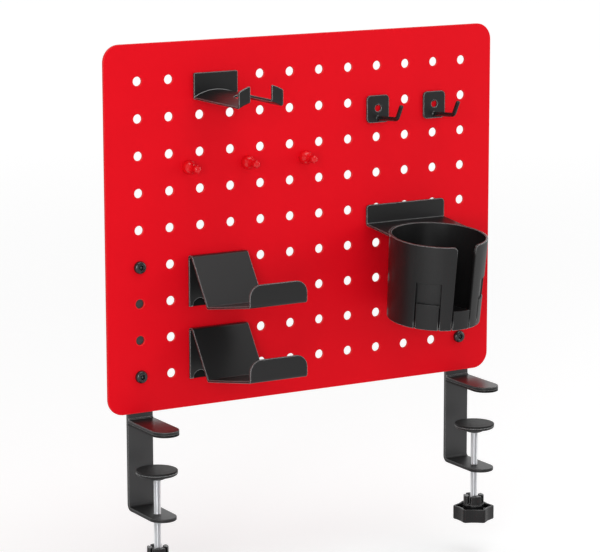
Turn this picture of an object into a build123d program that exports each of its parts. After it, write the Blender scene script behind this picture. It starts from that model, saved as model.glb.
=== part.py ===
"""Desk pegboard: a perforated steel panel clamped to the edge of a desk, with hang-on accessories.

Frame, in millimetres: +Z up, the front of the panel faces -Y, X = 0 midway between the two clamps.
Y = 0 is the back of the panel, where it lies on the clamp straps, and Z = 0 is the desk top.
"""

from build123d import *
from math import cos, pi, radians, sin, sqrt
import os

os.makedirs("parts", exist_ok=True)

# ---- driving dimensions -----------------------------------------------------------------------

# panel
PANEL_WIDTH = 368.0
PANEL_HEIGHT = 300.0
PANEL_THICKNESS = 2.0
PANEL_CORNER = 14.0
HOLE_DIAMETER = 7.5
HOLE_PITCH_X = 28.0
HOLE_PITCH_Z = 30.0
HOLE_COLUMNS = 12
HOLE_ROWS = 9

# C-clamps
STRAP_WIDTH = 23.0
STRAP_THICKNESS = 3.0
STRAP_BEND = 2.5
STRAP_OVER_TOP_BOLT = 13.5
STRAP_TOP_CORNER = 4.0
STRAP_COLUMNS = (0, 11)
BOLT_ROWS = (5, 8)
JAW_REACH = 54.5
JAW_THICKNESS = 3.0
JAW_WELD = 1.2
JAW_TO_PANEL = 5.0
JAW_PAD_THICKNESS = 1.5
JAW_PAD_POCKET = (10.0, 4.0, 0.8)
LOWER_ARM_REACH = 48.5
LOWER_ARM_TOP = -68.5
SCREW_FORWARD = 28.0
THROAT_AT_REST = 32.0

# clamp screw, its pressure disc and its knob
SCREW_DIAMETER = 6.0
SCREW_CLEARANCE = 0.05
SPIGOT_DIAMETER = 5.0
SPIGOT_HEAD = (8.0, 1.0)
DISC_DIAMETER = 34.0
DISC_THICKNESS = 2.5
DISC_PAD_THICKNESS = 1.5
DISC_EDGE = 1.2
DISC_PAD_EDGE = 0.6
DISC_HUB_DIAMETER = 15.0
DISC_HUB_HEIGHT = 3.5
DISC_HUB_EDGE = 1.2
HEAD_POCKET_PLAY = 0.3
SCREW_SHOULDER_PLAY = 0.05
KNOB_ACROSS_CORNERS = 37.0
KNOB_RIM_HEIGHT = 12.0
KNOB_HUB_RISE = 9.5
KNOB_HUB_DIAMETER = 17.6
KNOB_WALL = 2.0
KNOB_FLOOR = 2.0
KNOB_WEB = 1.6
KNOB_WEB_DROP = 2.5
KNOB_CORNER = 2.5
KNOB_HOLLOW_DEPTH = 1.3
KNOB_TOP = -96.0
KNOB_TURN = 29.0
KNOB_SLOT = (3.6, 7.5)
KNOB_HUB_EDGE = 1.0
KNOB_CORE = (10.0, 1.5)
KNOB_PLAY = 0.02

# button-head screws and hex nuts that hold the panel on the straps
BOLT_DIAMETER = 6.0
BOLT_HOLE = 6.5
BOLT_HEAD_DIAMETER = 10.5
BOLT_HEAD_HEIGHT = 3.3
BOLT_HEAD_RIM = 0.6
BOLT_HEAD_CROWN = 5.8
BOLT_SOCKET = (4.0, 2.0)
BOLT_TAIL = 2.0
NUT_ACROSS_FLATS = 10.0
NUT_THICKNESS = 5.0
NUT_PLAY = 0.02

# hang-on accessories: sheet, and the peg that goes through a panel hole
SHEET = 2.0
SHEET_BEND = 2.6
HANG_GAP = 0.1
PEG_WIDTH = 5.0
PEG_THICKNESS = 2.0
PEG_DROP = 3.0
PEG_ROUND = 1.2
PEG_SEAT_PLAY = 0.05
PEG_BEHIND_PLAY = 0.3

# headphone hanger
HANGER_COLUMNS = (2, 3)
HANGER_ROW = 0
HANGER_WIDTH = 40.0
HANGER_PLATE_HEIGHT = 21.7
HANGER_PLATE_ABOVE_HOLE = 4.0
HANGER_REACH = 76.0
HANGER_CROWN = 5.5
HANGER_LIP = 13.5
HANGER_NOTCH_WIDTH = 19.4
HANGER_NOTCH_DEPTH = 33.0
HANGER_CORNER = 1.2

# single hooks
HOOK_COLUMNS = {"hook_left": 8, "hook_right": 10}
HOOK_ROW = 1
HOOK_PLATE = (21.5, 23.0)
HOOK_PLATE_CORNER = 3.5
HOOK_PLATE_ABOVE_HOLE = 5.2
HOOK_EYE_DIAMETER = 6.0
HOOK_EYE_BELOW_HOLE = 5.6
HOOK_WIRE = 3.6
HOOK_WIRE_EDGE = 0.9
HOOK_ARM_BELOW_HOLE = 14.2
HOOK_ARM_LENGTH = 29.5
HOOK_ARM_RISE = 4.5
HOOK_TIP_LENGTH = 14.0
HOOK_TIP_LEAN = 30.0
HOOK_BEND = 4.5

# cup holder
CUP_COLUMNS = (8, 10)
CUP_ROW = 4
CUP_PLATE_WIDTH = 77.6
CUP_PLATE_HEIGHT = 17.5
CUP_PLATE_ABOVE_HOLE = 3.0
CUP_PLATE_CORNER = 3.0
CUP_DROOP = 6.0
CUP_RIM_DIAMETER = 82.5
CUP_FOOT_DIAMETER = 78.0
CUP_HEIGHT = 72.0
CUP_BACK_GAP = 9.75
CUP_TURN = 3.0
CUP_SLOT_WIDTH = 18.0
CUP_SLOT_CORNER = 4.0
CUP_WINDOW = (21.0, 40.0)
CUP_WINDOW_ANGLES = (45.0, 315.0)
CUP_WINDOW_TAB = 22.0
CUP_SLOT_TAB = 16.5
CUP_TAB_SIDE_GAP = 1.0
CUP_FLOOR_PLAY = 0.3

# controller holders: two alike, one above the other
HOLDER_COLUMNS = (2, 3)
HOLDER_ROWS = {"controller_holder_upper": 5, "controller_holder_lower": 7}
HOLDER_WIDTH = 52.0
HOLDER_TOP_ABOVE_HOLE = 6.0
HOLDER_BACK_HEIGHT = 42.5
HOLDER_FOLD = 6.5
HOLDER_REST_FORWARD = 26.0
HOLDER_REST_DROP = 37.5
HOLDER_BASE_LENGTH = 68.0
HOLDER_BASE_RISE = 12.5
HOLDER_LIP = 16.5
HOLDER_LIP_CORNER = 10.0
HOLDER_INNER_BEND = 1.0
HOLDER_NOTCH = (12.5, 6.5)
HOLDER_NOTCH_INSET = 9.5

# push-pin magnets
PIN_X = {1: -109.0, 2: -54.7, 3: -0.4}
PIN_ABOVE_DESK = 207.5
PIN_BASE_DIAMETER = 11.5
PIN_BASE_RIM = 2.2
PIN_SHOULDER = (7.4, 6.4)
PIN_NECK = (4.2, 11.2)
PIN_KNOB_DIAMETER = 6.4
PIN_KNOB_LENGTH = 4.4
PIN_END_DIAMETER = 4.6
PIN_LENGTH = 17.6
PIN_MAGNET = (8.0, 3.0)
PIN_MAGNET_PLAY = 0.05

# ---- places that follow from them ---------------------------------------------------------------

JAW_TOP = JAW_PAD_THICKNESS + JAW_THICKNESS
PANEL_BOTTOM = JAW_TOP + JAW_TO_PANEL
PANEL_MIDDLE = PANEL_BOTTOM + PANEL_HEIGHT / 2
SHEET_BACK = -(PANEL_THICKNESS + HANG_GAP)
SHEET_FRONT = SHEET_BACK - SHEET
DISC_TOP = -THROAT_AT_REST
CUP_CENTRE_FORWARD = CUP_RIM_DIAMETER / 2 + CUP_BACK_GAP
SIDES = {"left": STRAP_COLUMNS[0], "right": STRAP_COLUMNS[1]}


def hole_x(column):
    return (column - (HOLE_COLUMNS - 1) / 2) * HOLE_PITCH_X


def hole_z(row):
    return PANEL_MIDDLE + ((HOLE_ROWS - 1) / 2 - row) * HOLE_PITCH_Z


def box(x, y, z):
    """A box from three (low, high) pairs."""
    size = [high - low for low, high in (x, y, z)]
    middle = [(high + low) / 2 for low, high in (x, y, z)]
    return Pos(*middle) * Box(*size)


def rod(x, y, z, diameter):
    """An upright cylinder between two heights."""
    return Pos(x, y, (z[0] + z[1]) / 2) * Cylinder(diameter / 2, z[1] - z[0])


def cross_rod(x, z, y, diameter):
    """A cylinder along Y between two places."""
    return Pos(x, (y[0] + y[1]) / 2, z) * Rot(90, 0, 0) * Cylinder(diameter / 2, y[1] - y[0])


def front_plate(width, height, corner, x, z_top, y_back, thickness):
    """A flat plate that faces -Y, with rounded corners."""
    face = RectangleRounded(width, height, corner)
    plane = Plane((x, y_back, z_top - height / 2), x_dir=(1, 0, 0), z_dir=(0, -1, 0))
    return extrude(plane * face, thickness)


def folded_sheet(points, radii, thickness, width, x):
    """A strip of sheet folded along X: its left-hand face follows the points (y, z)."""
    path = FilletPolyline(*points, radius=radii)
    outline = offset(path, amount=thickness, side=Side.LEFT)
    plane = Plane((x - width / 2, 0, 0), x_dir=(0, 1, 0), z_dir=(1, 0, 0))
    return extrude(plane * make_face(outline), width)


def peg(column, row):
    """The hook behind an accessory: a neck through the hole, and a lip that drops behind the panel."""
    x, z = hole_x(column), hole_z(row)
    seat = sqrt((HOLE_DIAMETER / 2) ** 2 - (PEG_WIDTH / 2) ** 2) - PEG_SEAT_PLAY
    side = (x - PEG_WIDTH / 2, x + PEG_WIDTH / 2)
    back = (PEG_BEHIND_PLAY, PEG_BEHIND_PLAY + PEG_THICKNESS)
    neck = box(side, (SHEET_BACK, back[1]), (z - seat, z - seat + PEG_THICKNESS))
    lip = box(side, back, (z - seat - PEG_DROP, z - seat + PEG_THICKNESS))
    hook = neck + lip
    top_back = hook.edges().filter_by(Axis.X).sort_by(lambda e: e.center().Y + e.center().Z)[-1]
    return fillet(top_back, PEG_ROUND)


# ---- panel and clamps -----------------------------------------------------------------------------


def make_panel():
    holes = GridLocations(HOLE_PITCH_X, HOLE_PITCH_Z, HOLE_COLUMNS, HOLE_ROWS) * Circle(HOLE_DIAMETER / 2)
    face = RectangleRounded(PANEL_WIDTH, PANEL_HEIGHT, PANEL_CORNER) - holes
    plane = Plane((0, 0, PANEL_MIDDLE), x_dir=(1, 0, 0), z_dir=(0, -1, 0))
    return extrude(plane * face, PANEL_THICKNESS)


def tongue(x, reach, z, start=0.0):
    """A flat bar that runs forward from the strap to a half-round end."""
    radius = STRAP_WIDTH / 2
    bar = box((x - radius, x + radius), (radius - reach, start), z)
    return bar + rod(x, radius - reach, z, STRAP_WIDTH)


def make_strap(x):
    """The upright strap behind the panel and the lower arm with its tapped hole, bent from one bar."""
    top = hole_z(BOLT_ROWS[0]) + STRAP_OVER_TOP_BOLT
    low = LOWER_ARM_TOP - STRAP_THICKNESS
    start = -LOWER_ARM_REACH + STRAP_WIDTH / 2
    path = ((start, low), (STRAP_THICKNESS, low), (STRAP_THICKNESS, top))
    bar = folded_sheet(path, STRAP_BEND + STRAP_THICKNESS, STRAP_THICKNESS, STRAP_WIDTH, x)
    bar = bar + rod(x, start, (low, LOWER_ARM_TOP), STRAP_WIDTH)
    bar = fillet(bar.edges().filter_by(Axis.Y).group_by(Axis.Z)[-1], STRAP_TOP_CORNER)
    for row in BOLT_ROWS:
        bar -= cross_rod(x, hole_z(row), (-1, STRAP_THICKNESS + 1), BOLT_HOLE)
    tapped = SCREW_DIAMETER + 2 * SCREW_CLEARANCE
    return bar - rod(x, -SCREW_FORWARD, (low - 1, LOWER_ARM_TOP + 1), tapped)


def make_jaw(x):
    """The upper tongue, welded to the front of the strap just under the panel."""
    bar = tongue(x, JAW_REACH, (JAW_PAD_THICKNESS, JAW_TOP))
    corner = Polyline((0, 0), (-JAW_WELD, 0), (0, JAW_WELD), close=True)
    plane = Plane((x - STRAP_WIDTH / 2, 0, JAW_TOP), x_dir=(0, 1, 0), z_dir=(1, 0, 0))
    return bar + extrude(plane * make_face(corner), STRAP_WIDTH)


def make_jaw_pad(x):
    """The rubber under the tongue, with a half-moon pocket at its front edge."""
    width, depth, height = JAW_PAD_POCKET
    pad = tongue(x, JAW_REACH, (0, JAW_PAD_THICKNESS))
    pocket = box((x - width / 2, x + width / 2), (-JAW_REACH - 1, depth - JAW_REACH),
                 (JAW_PAD_THICKNESS - height, JAW_PAD_THICKNESS + 1))
    return pad - pocket


def disc_levels():
    """Heights of the pad's top, the disc's top, its underside and the hub's underside."""
    plate = DISC_TOP - DISC_PAD_THICKNESS
    under = plate - DISC_THICKNESS
    return DISC_TOP, plate, under, under - DISC_HUB_HEIGHT


def make_disc(x):
    """The swivelling pressure disc: a steel plate and hub, riveted over the screw's spigot."""
    _, plate, under, hub = disc_levels()
    head, thick = SPIGOT_HEAD
    y = -SCREW_FORWARD
    disc = rod(x, y, (under, plate), DISC_DIAMETER)
    disc = chamfer(disc.edges().group_by(Axis.Z)[0], DISC_EDGE)
    disc += rod(x, y, (hub, under), DISC_HUB_DIAMETER)
    disc = chamfer(disc.edges().group_by(Axis.Z)[0], DISC_HUB_EDGE)
    pocket = rod(x, y, (plate - thick - HEAD_POCKET_PLAY, plate), head + 2 * HEAD_POCKET_PLAY)
    bore = rod(x, y, (hub - 1, plate), SPIGOT_DIAMETER + 2 * SCREW_CLEARANCE)
    return disc - pocket - bore


def make_disc_pad(x):
    top, plate, _, _ = disc_levels()
    pad = rod(x, -SCREW_FORWARD, (plate, top), DISC_DIAMETER)
    return chamfer(pad.edges().group_by(Axis.Z)[-1], DISC_PAD_EDGE)


def make_clamp_screw(x):
    """The threaded rod, with a spigot and its peened head at the top."""
    _, plate, _, hub = disc_levels()
    head, thick = SPIGOT_HEAD
    y = -SCREW_FORWARD
    shoulder = hub - SCREW_SHOULDER_PLAY
    head_low = plate - thick - HEAD_POCKET_PLAY / 2
    foot = KNOB_TOP - KNOB_HUB_RISE - KNOB_RIM_HEIGHT + KNOB_FLOOR
    shaft = rod(x, y, (foot, shoulder), SCREW_DIAMETER)
    spigot = rod(x, y, (shoulder, head_low), SPIGOT_DIAMETER)
    return shaft + spigot + rod(x, y, (head_low, head_low + thick), head)


def knob_outline(inset):
    """The six-sided knob seen from above: rounded corners and slightly hollow sides."""
    radius = KNOB_ACROSS_CORNERS / 2
    flat = radius * cos(pi / 6)
    half = radius * sin(pi / 6)
    depth = KNOB_HOLLOW_DEPTH
    scoop = (half**2 + depth**2) / (2 * depth)
    face = RegularPolygon(radius, 6)
    for step in range(6):
        face -= Rot(0, 0, 30 + 60 * step) * Pos(flat - depth + scoop, 0) * Circle(scoop)
    face = fillet(face.vertices(), KNOB_CORNER)
    return offset(face, -inset) if inset else face


def make_knob(x):
    """The moulded knob: a hollow six-sided shell with webs, round a tall slotted hub."""
    rim = KNOB_TOP - KNOB_HUB_RISE
    foot = rim - KNOB_RIM_HEIGHT
    shell = extrude(knob_outline(0), KNOB_RIM_HEIGHT)
    shell -= Pos(0, 0, KNOB_FLOOR) * extrude(knob_outline(KNOB_WALL), KNOB_RIM_HEIGHT)
    web_top = KNOB_RIM_HEIGHT - KNOB_WEB_DROP
    webs = extrude(knob_outline(KNOB_WALL / 2), web_top)
    webs &= sum_of(Rot(0, 0, 60 * n) * Box(KNOB_ACROSS_CORNERS, KNOB_WEB, 2 * web_top) for n in range(3))
    height = KNOB_RIM_HEIGHT + KNOB_HUB_RISE
    hub = rod(0, 0, (0, height), KNOB_HUB_DIAMETER)
    hub = chamfer(hub.edges().group_by(Axis.Z)[-1], KNOB_HUB_EDGE)
    slot_width, slot_depth = KNOB_SLOT
    for turn in (0, 90):
        cut = Box(KNOB_HUB_DIAMETER + 1, slot_width, 2 * slot_depth)
        hub -= Pos(0, 0, height) * Rot(0, 0, turn) * cut
    core_diameter, core_drop = KNOB_CORE
    hub += rod(0, 0, (0, height - core_drop), core_diameter)
    knob = shell + webs + hub - rod(0, 0, (KNOB_FLOOR, height + 1), SCREW_DIAMETER + 2 * KNOB_PLAY)
    return Pos(x, -SCREW_FORWARD, foot) * Rot(0, 0, KNOB_TURN) * knob


def sum_of(solids):
    total = None
    for solid in solids:
        total = solid if total is None else total + solid
    return total


def bolt_places():
    return [(hole_x(column), hole_z(row)) for column in STRAP_COLUMNS for row in BOLT_ROWS]


def make_bolt(x, z):
    """A button-head screw: domed head on the panel's front, shank back through panel and strap."""
    face = -PANEL_THICKNESS
    tail = STRAP_THICKNESS + NUT_THICKNESS + BOLT_TAIL
    height = BOLT_HEAD_HEIGHT
    rim, crown = (BOLT_HEAD_DIAMETER / 2, BOLT_HEAD_RIM), (BOLT_HEAD_CROWN / 2, height)
    dome = TangentArc(rim, crown, tangent=(0, 1))
    rest = Polyline(crown, (0, height), (0, 0), (rim[0], 0), rim)
    head = revolve(Plane.XZ * make_face(Curve() + [dome, rest]), Axis.Z)
    across, depth = BOLT_SOCKET
    socket = extrude(RegularPolygon(across / sqrt(3), 6), depth + 1)
    head -= Pos(0, 0, height - depth) * socket
    head = Pos(x, face, z) * Rot(90, 0, 0) * head
    return head + cross_rod(x, z, (face, tail), BOLT_DIAMETER)


def make_nut(x, z):
    nut = extrude(RegularPolygon(NUT_ACROSS_FLATS / sqrt(3), 6), NUT_THICKNESS)
    nut -= rod(0, 0, (-1, NUT_THICKNESS + 1), BOLT_DIAMETER + 2 * NUT_PLAY)
    return Pos(x, STRAP_THICKNESS, z) * Rot(-90, 0, 0) * nut


# ---- hang-on accessories ----------------------------------------------------------------------------


def arched_band(width, crown, thickness, low, high):
    """Seen from the front: a band whose underside is an arch from edge to edge of the hanger."""
    half = width / 2
    under = ThreePointArc((-half, low), (0, low + crown), (half, low))
    right = Line((half, low), (half, high))
    over = ThreePointArc((half, high), (0, high + crown), (-half, high))
    left = Line((-half, high), (-half, low))
    return make_face(Curve() + [under, right, over, left])


def make_headphone_hanger():
    """A plate with an arched tongue that forks at the front into two arms with upturned lips."""
    x = (hole_x(HANGER_COLUMNS[0]) + hole_x(HANGER_COLUMNS[1])) / 2
    top = hole_z(HANGER_ROW) + HANGER_PLATE_ABOVE_HOLE
    low = top - HANGER_PLATE_HEIGHT
    hanger = front_plate(HANGER_WIDTH, HANGER_PLATE_HEIGHT, HANGER_CORNER, x, top, SHEET_BACK, SHEET)
    front = Plane((x, SHEET_BACK, low), x_dir=(1, 0, 0), z_dir=(0, -1, 0))
    band = arched_band(HANGER_WIDTH, HANGER_CROWN, SHEET, 0, SHEET)
    hanger += extrude(front * band, HANGER_REACH)
    lip_front = front.offset(HANGER_REACH - SHEET)
    hanger += extrude(lip_front * arched_band(HANGER_WIDTH, HANGER_CROWN, SHEET, 0, HANGER_LIP), SHEET)
    half = HANGER_NOTCH_WIDTH / 2
    back = SHEET_BACK - HANGER_REACH + HANGER_NOTCH_DEPTH
    above = (low - 1, top + 1)
    notch = box((x - half, x + half), (SHEET_BACK - HANGER_REACH - 1, back - half), above)
    notch += rod(x, back - half, above, HANGER_NOTCH_WIDTH)
    hanger -= notch
    return hanger + sum_of(peg(column, HANGER_ROW) for column in HANGER_COLUMNS)


def make_hook(column):
    """A small plate with an eye, a peg behind it and one bent wire arm welded to its front."""
    x, z = hole_x(column), hole_z(HOOK_ROW)
    width, height = HOOK_PLATE
    top = z + HOOK_PLATE_ABOVE_HOLE
    plate = front_plate(width, height, HOOK_PLATE_CORNER, x, top, SHEET_BACK, SHEET)
    eye_z = z - HOOK_EYE_BELOW_HOLE
    plate -= cross_rod(x, eye_z, (SHEET_FRONT - 1, SHEET_BACK + 1), HOOK_EYE_DIAMETER)
    rise, lean = radians(HOOK_ARM_RISE), radians(HOOK_TIP_LEAN)
    foot = (SHEET_FRONT + SHEET / 2, z - HOOK_ARM_BELOW_HOLE)
    reach = HOOK_ARM_LENGTH + SHEET / 2
    elbow = (foot[0] - reach * cos(rise), foot[1] + reach * sin(rise))
    tip = (elbow[0] - HOOK_TIP_LENGTH * sin(lean), elbow[1] + HOOK_TIP_LENGTH * cos(lean))
    side = Plane((x, 0, 0), x_dir=(0, 1, 0), z_dir=(1, 0, 0))
    path = side * FilletPolyline(foot, elbow, tip, radius=HOOK_BEND)
    wire = sweep(Plane(path @ 0, z_dir=path % 0) * Circle(HOOK_WIRE / 2), path)
    wire = chamfer(wire.edges().sort_by(Axis.Z)[-1], HOOK_WIRE_EDGE)
    return plate + wire + peg(column, HOOK_ROW)


def cup_frame():
    """The cup's own frame: the middle of its rim, tilted by the droop of the flange."""
    low = hole_z(CUP_ROW) + CUP_PLATE_ABOVE_HOLE - CUP_PLATE_HEIGHT
    x = (hole_x(CUP_COLUMNS[0]) + hole_x(CUP_COLUMNS[1])) / 2
    return Pos(x, SHEET_FRONT, low) * Rot(CUP_DROOP, 0, 0) * Pos(0, -CUP_CENTRE_FORWARD, SHEET)


def make_cup_bracket():
    """Back plate and flange bent from one sheet; the flange's front is cut out round the cup."""
    x = (hole_x(CUP_COLUMNS[0]) + hole_x(CUP_COLUMNS[1])) / 2
    top = hole_z(CUP_ROW) + CUP_PLATE_ABOVE_HOLE
    low = top - CUP_PLATE_HEIGHT
    droop = radians(CUP_DROOP)
    reach = CUP_CENTRE_FORWARD + SHEET
    toe = (SHEET_BACK - reach * cos(droop), low - reach * sin(droop))
    path = (toe, (SHEET_BACK, low), (SHEET_BACK, top))
    bracket = folded_sheet(path, SHEET_BEND, SHEET, CUP_PLATE_WIDTH, x)
    bracket = fillet(bracket.edges().filter_by(Axis.Y).group_by(Axis.Z)[-1], CUP_PLATE_CORNER)
    bracket -= cup_frame() * cup_cone(-CUP_HEIGHT, SHEET)
    return bracket + sum_of(peg(column, CUP_ROW) for column in CUP_COLUMNS)


def cup_cone(low, high, inset=0.0):
    """The solid inside the cup's slightly tapered outer face, or a sheet's thickness further in."""
    taper = (CUP_RIM_DIAMETER - CUP_FOOT_DIAMETER) / 2 / CUP_HEIGHT
    radius = [CUP_RIM_DIAMETER / 2 - inset + z * taper for z in (low, high)]
    return Pos(0, 0, (low + high) / 2) * Cone(*radius, high - low)


def cup_ring(low, high):
    return cup_cone(low, high) - cup_cone(low, high, SHEET)


def cup_opening(width, low, high, angle):
    """A radial block through the wall at an angle, counted from the front (-Y)."""
    block = box((-width / 2, width / 2), (-CUP_RIM_DIAMETER, -CUP_RIM_DIAMETER / 4), (low, high))
    return Rot(0, 0, angle) * block


def make_cup_wall():
    """The rolled wall: a full-height slot in front, and two windows that are open at the bottom."""
    wall = cup_ring(-CUP_HEIGHT, 0) - cup_opening(CUP_SLOT_WIDTH, -CUP_HEIGHT - 1, 1, 0)
    for side in (-1, 1):
        edge = side * CUP_SLOT_WIDTH / 2
        middle = edge + side * CUP_SLOT_CORNER
        corner = box((min(edge, middle), max(edge, middle)), (-CUP_RIM_DIAMETER, 0), (-CUP_SLOT_CORNER, 1))
        corner -= cross_rod(middle, -CUP_SLOT_CORNER, (-CUP_RIM_DIAMETER - 1, 1), 2 * CUP_SLOT_CORNER)
        wall -= corner
    width, height = CUP_WINDOW
    for angle in CUP_WINDOW_ANGLES:
        wall -= cup_opening(width, -CUP_HEIGHT - 1, height - CUP_HEIGHT, angle)
    return cup_frame() * Rot(0, 0, CUP_TURN) * wall


def make_cup_base():
    """The floor plate, with tabs turned up into the slot and the windows, flush with the wall."""
    floor_radius = CUP_FOOT_DIAMETER / 2 - SHEET - CUP_FLOOR_PLAY
    floor = rod(0, 0, (-CUP_HEIGHT, SHEET - CUP_HEIGHT), 2 * floor_radius)
    disc = cup_cone(-CUP_HEIGHT, SHEET - CUP_HEIGHT)
    tabs = {0.0: (CUP_SLOT_WIDTH, CUP_SLOT_TAB)}
    tabs |= {angle: (CUP_WINDOW[0], CUP_WINDOW_TAB) for angle in CUP_WINDOW_ANGLES}
    for angle, (width, height) in tabs.items():
        clear = width - 2 * CUP_TAB_SIDE_GAP
        tab = cup_ring(-CUP_HEIGHT, height - CUP_HEIGHT) + disc
        floor += tab & cup_opening(clear, -CUP_HEIGHT - 1, 0, angle)
    return cup_frame() * Rot(0, 0, CUP_TURN) * floor


def make_controller_holder(row):
    """One sheet: back plate, fold, sloping rest, rising base and a front lip with round corners."""
    x = (hole_x(HOLDER_COLUMNS[0]) + hole_x(HOLDER_COLUMNS[1])) / 2
    top = hole_z(row) + HOLDER_TOP_ABOVE_HOLE
    low = top - HOLDER_BACK_HEIGHT
    fold = (SHEET_BACK - HOLDER_FOLD, top)
    heel = (fold[0] - HOLDER_REST_FORWARD, top - HOLDER_REST_DROP)
    toe = (heel[0] - HOLDER_BASE_LENGTH, heel[1] + HOLDER_BASE_RISE)
    lip = (toe[0], toe[1] + HOLDER_LIP)
    path = ((SHEET_BACK, low), (SHEET_BACK, top), fold, heel, toe, lip)
    bend = HOLDER_FOLD / 2
    radii = (bend, bend, HOLDER_INNER_BEND, HOLDER_INNER_BEND)
    sheet = folded_sheet(path, radii, SHEET, HOLDER_WIDTH, x)
    lip_top = sheet.edges().filter_by(Axis.Y).filter_by(lambda e: abs(e.center().Z - lip[1]) < 0.01)
    lip_top = lip_top.filter_by(lambda e: e.center().Y < toe[0])
    sheet = fillet(lip_top, HOLDER_LIP_CORNER)
    width, height = HOLDER_NOTCH
    for side in (-1, 1):
        middle = x + side * (HOLDER_WIDTH / 2 - HOLDER_NOTCH_INSET)
        across = (SHEET_FRONT - 0.5, SHEET_BACK + 0.5)
        arch_z = low + height - width / 2
        sheet -= cross_rod(middle, arch_z, across, width)
        sheet -= box((middle - width / 2, middle + width / 2), across, (low - 1, arch_z))
    return sheet + sum_of(peg(column, row) for column in HOLDER_COLUMNS)


# ---- push-pin magnets ---------------------------------------------------------------------------------


def make_push_pin(x):
    """The moulded pin: a rim, a domed shoulder, a waist and a finger knob, hollow for its magnet."""
    rim = (PIN_BASE_DIAMETER / 2, PIN_BASE_RIM)
    shoulder = (PIN_SHOULDER[0] / 2, PIN_SHOULDER[1])
    neck = (PIN_NECK[0] / 2, PIN_NECK[1])
    knob = (PIN_KNOB_DIAMETER / 2, PIN_LENGTH - PIN_KNOB_LENGTH / 2)
    end = (PIN_END_DIAMETER / 2, PIN_LENGTH)
    outline = Curve() + [
        TangentArc(rim, shoulder, tangent=(0, 1)),
        TangentArc(neck, shoulder, tangent=(0, -1)),
        TangentArc(knob, neck, tangent=(0, -1)),
        TangentArc(knob, end, tangent=(0, 1)),
        Polyline(end, (0, PIN_LENGTH), (0, 0), (rim[0], 0), rim),
    ]
    pin = revolve(Plane.XZ * make_face(outline), Axis.Z)
    diameter, depth = PIN_MAGNET
    pin -= rod(0, 0, (-1, depth + PIN_MAGNET_PLAY), diameter + 2 * PIN_MAGNET_PLAY)
    return Pos(x, SHEET_BACK, PIN_ABOVE_DESK) * Rot(90, 0, 0) * pin


def make_pin_magnet(x):
    diameter, depth = PIN_MAGNET
    return cross_rod(x, PIN_ABOVE_DESK, (SHEET_BACK - depth, SHEET_BACK), diameter)


# ---- the whole ------------------------------------------------------------------------------------------


def make_nodes():
    nodes = {"pegboard_panel": make_panel()}
    for side, column in SIDES.items():
        x = hole_x(column)
        nodes[f"clamp_strap_{side}"] = make_strap(x)
        nodes[f"upper_jaw_{side}"] = make_jaw(x)
        nodes[f"jaw_pad_{side}"] = make_jaw_pad(x)
        nodes[f"pressure_disc_{side}"] = make_disc(x)
        nodes[f"disc_pad_{side}"] = make_disc_pad(x)
        nodes[f"clamp_screw_{side}"] = make_clamp_screw(x)
        nodes[f"clamp_knob_{side}"] = make_knob(x)
    nodes["panel_screws"] = Compound(children=[make_bolt(*place) for place in bolt_places()])
    nodes["panel_nuts"] = Compound(children=[make_nut(*place) for place in bolt_places()])
    nodes["headphone_hanger"] = make_headphone_hanger()
    for name, column in HOOK_COLUMNS.items():
        nodes[name] = make_hook(column)
    nodes["cup_holder_bracket"] = make_cup_bracket()
    nodes["cup_holder_wall"] = make_cup_wall()
    nodes["cup_holder_base"] = make_cup_base()
    for name, row in HOLDER_ROWS.items():
        nodes[name] = make_controller_holder(row)
    for number, x in PIN_X.items():
        nodes[f"push_pin_{number}"] = make_push_pin(x)
        nodes[f"pin_magnet_{number}"] = make_pin_magnet(x)
    return nodes


for node, solid in make_nodes().items():
    export_step(solid, f"parts/{node}.step")
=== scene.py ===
from math import cos, pi, radians, sin, sqrt

import bmesh
import bpy
import numpy as np
from mathutils import Matrix, Vector
from mathutils.geometry import delaunay_2d_cdt


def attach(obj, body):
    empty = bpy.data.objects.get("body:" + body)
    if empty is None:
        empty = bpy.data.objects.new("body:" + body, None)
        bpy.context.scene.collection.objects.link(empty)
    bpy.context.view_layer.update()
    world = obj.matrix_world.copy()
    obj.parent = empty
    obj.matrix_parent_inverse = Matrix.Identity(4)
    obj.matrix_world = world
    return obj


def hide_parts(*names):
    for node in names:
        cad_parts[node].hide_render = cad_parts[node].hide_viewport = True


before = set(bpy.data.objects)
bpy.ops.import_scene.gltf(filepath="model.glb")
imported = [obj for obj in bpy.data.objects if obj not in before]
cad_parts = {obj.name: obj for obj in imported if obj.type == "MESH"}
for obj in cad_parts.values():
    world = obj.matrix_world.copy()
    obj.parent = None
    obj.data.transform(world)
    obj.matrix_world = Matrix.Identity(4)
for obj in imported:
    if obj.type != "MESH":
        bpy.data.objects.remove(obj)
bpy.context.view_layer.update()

# Sizes are in millimetres and colours in linear light. The panel's front faces -Y and Z = 0 is the desk
# top. A piece becomes metres where its mesh is made; only the camera, lamps and floor are set in metres.

# ---- Camera, lamps and floor --------------------------------------------------------------------
# The product shot: a long lens from the front left, looking down on the board. Large soft boxes and a
# pale room light it evenly; the floor is white paper.

AZIMUTH, TILT, ROLL = radians(30.335), radians(10.757), radians(-0.100)
EYE, FOCAL_LENGTH, FILM_WIDTH = (-1.1210, -1.9095, 0.5279), 162.26, 36.0
FLOOR_HEIGHT, FLOOR_HALF = -0.148, 8.0


def standing(right, up, back, place):
    """The matrix of a camera or lamp, from the directions of its right, top and back, and its place."""
    matrix = np.eye(4)
    matrix[:3] = np.stack([right, up, back, place], axis=-1)
    return Matrix(matrix.tolist())


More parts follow.
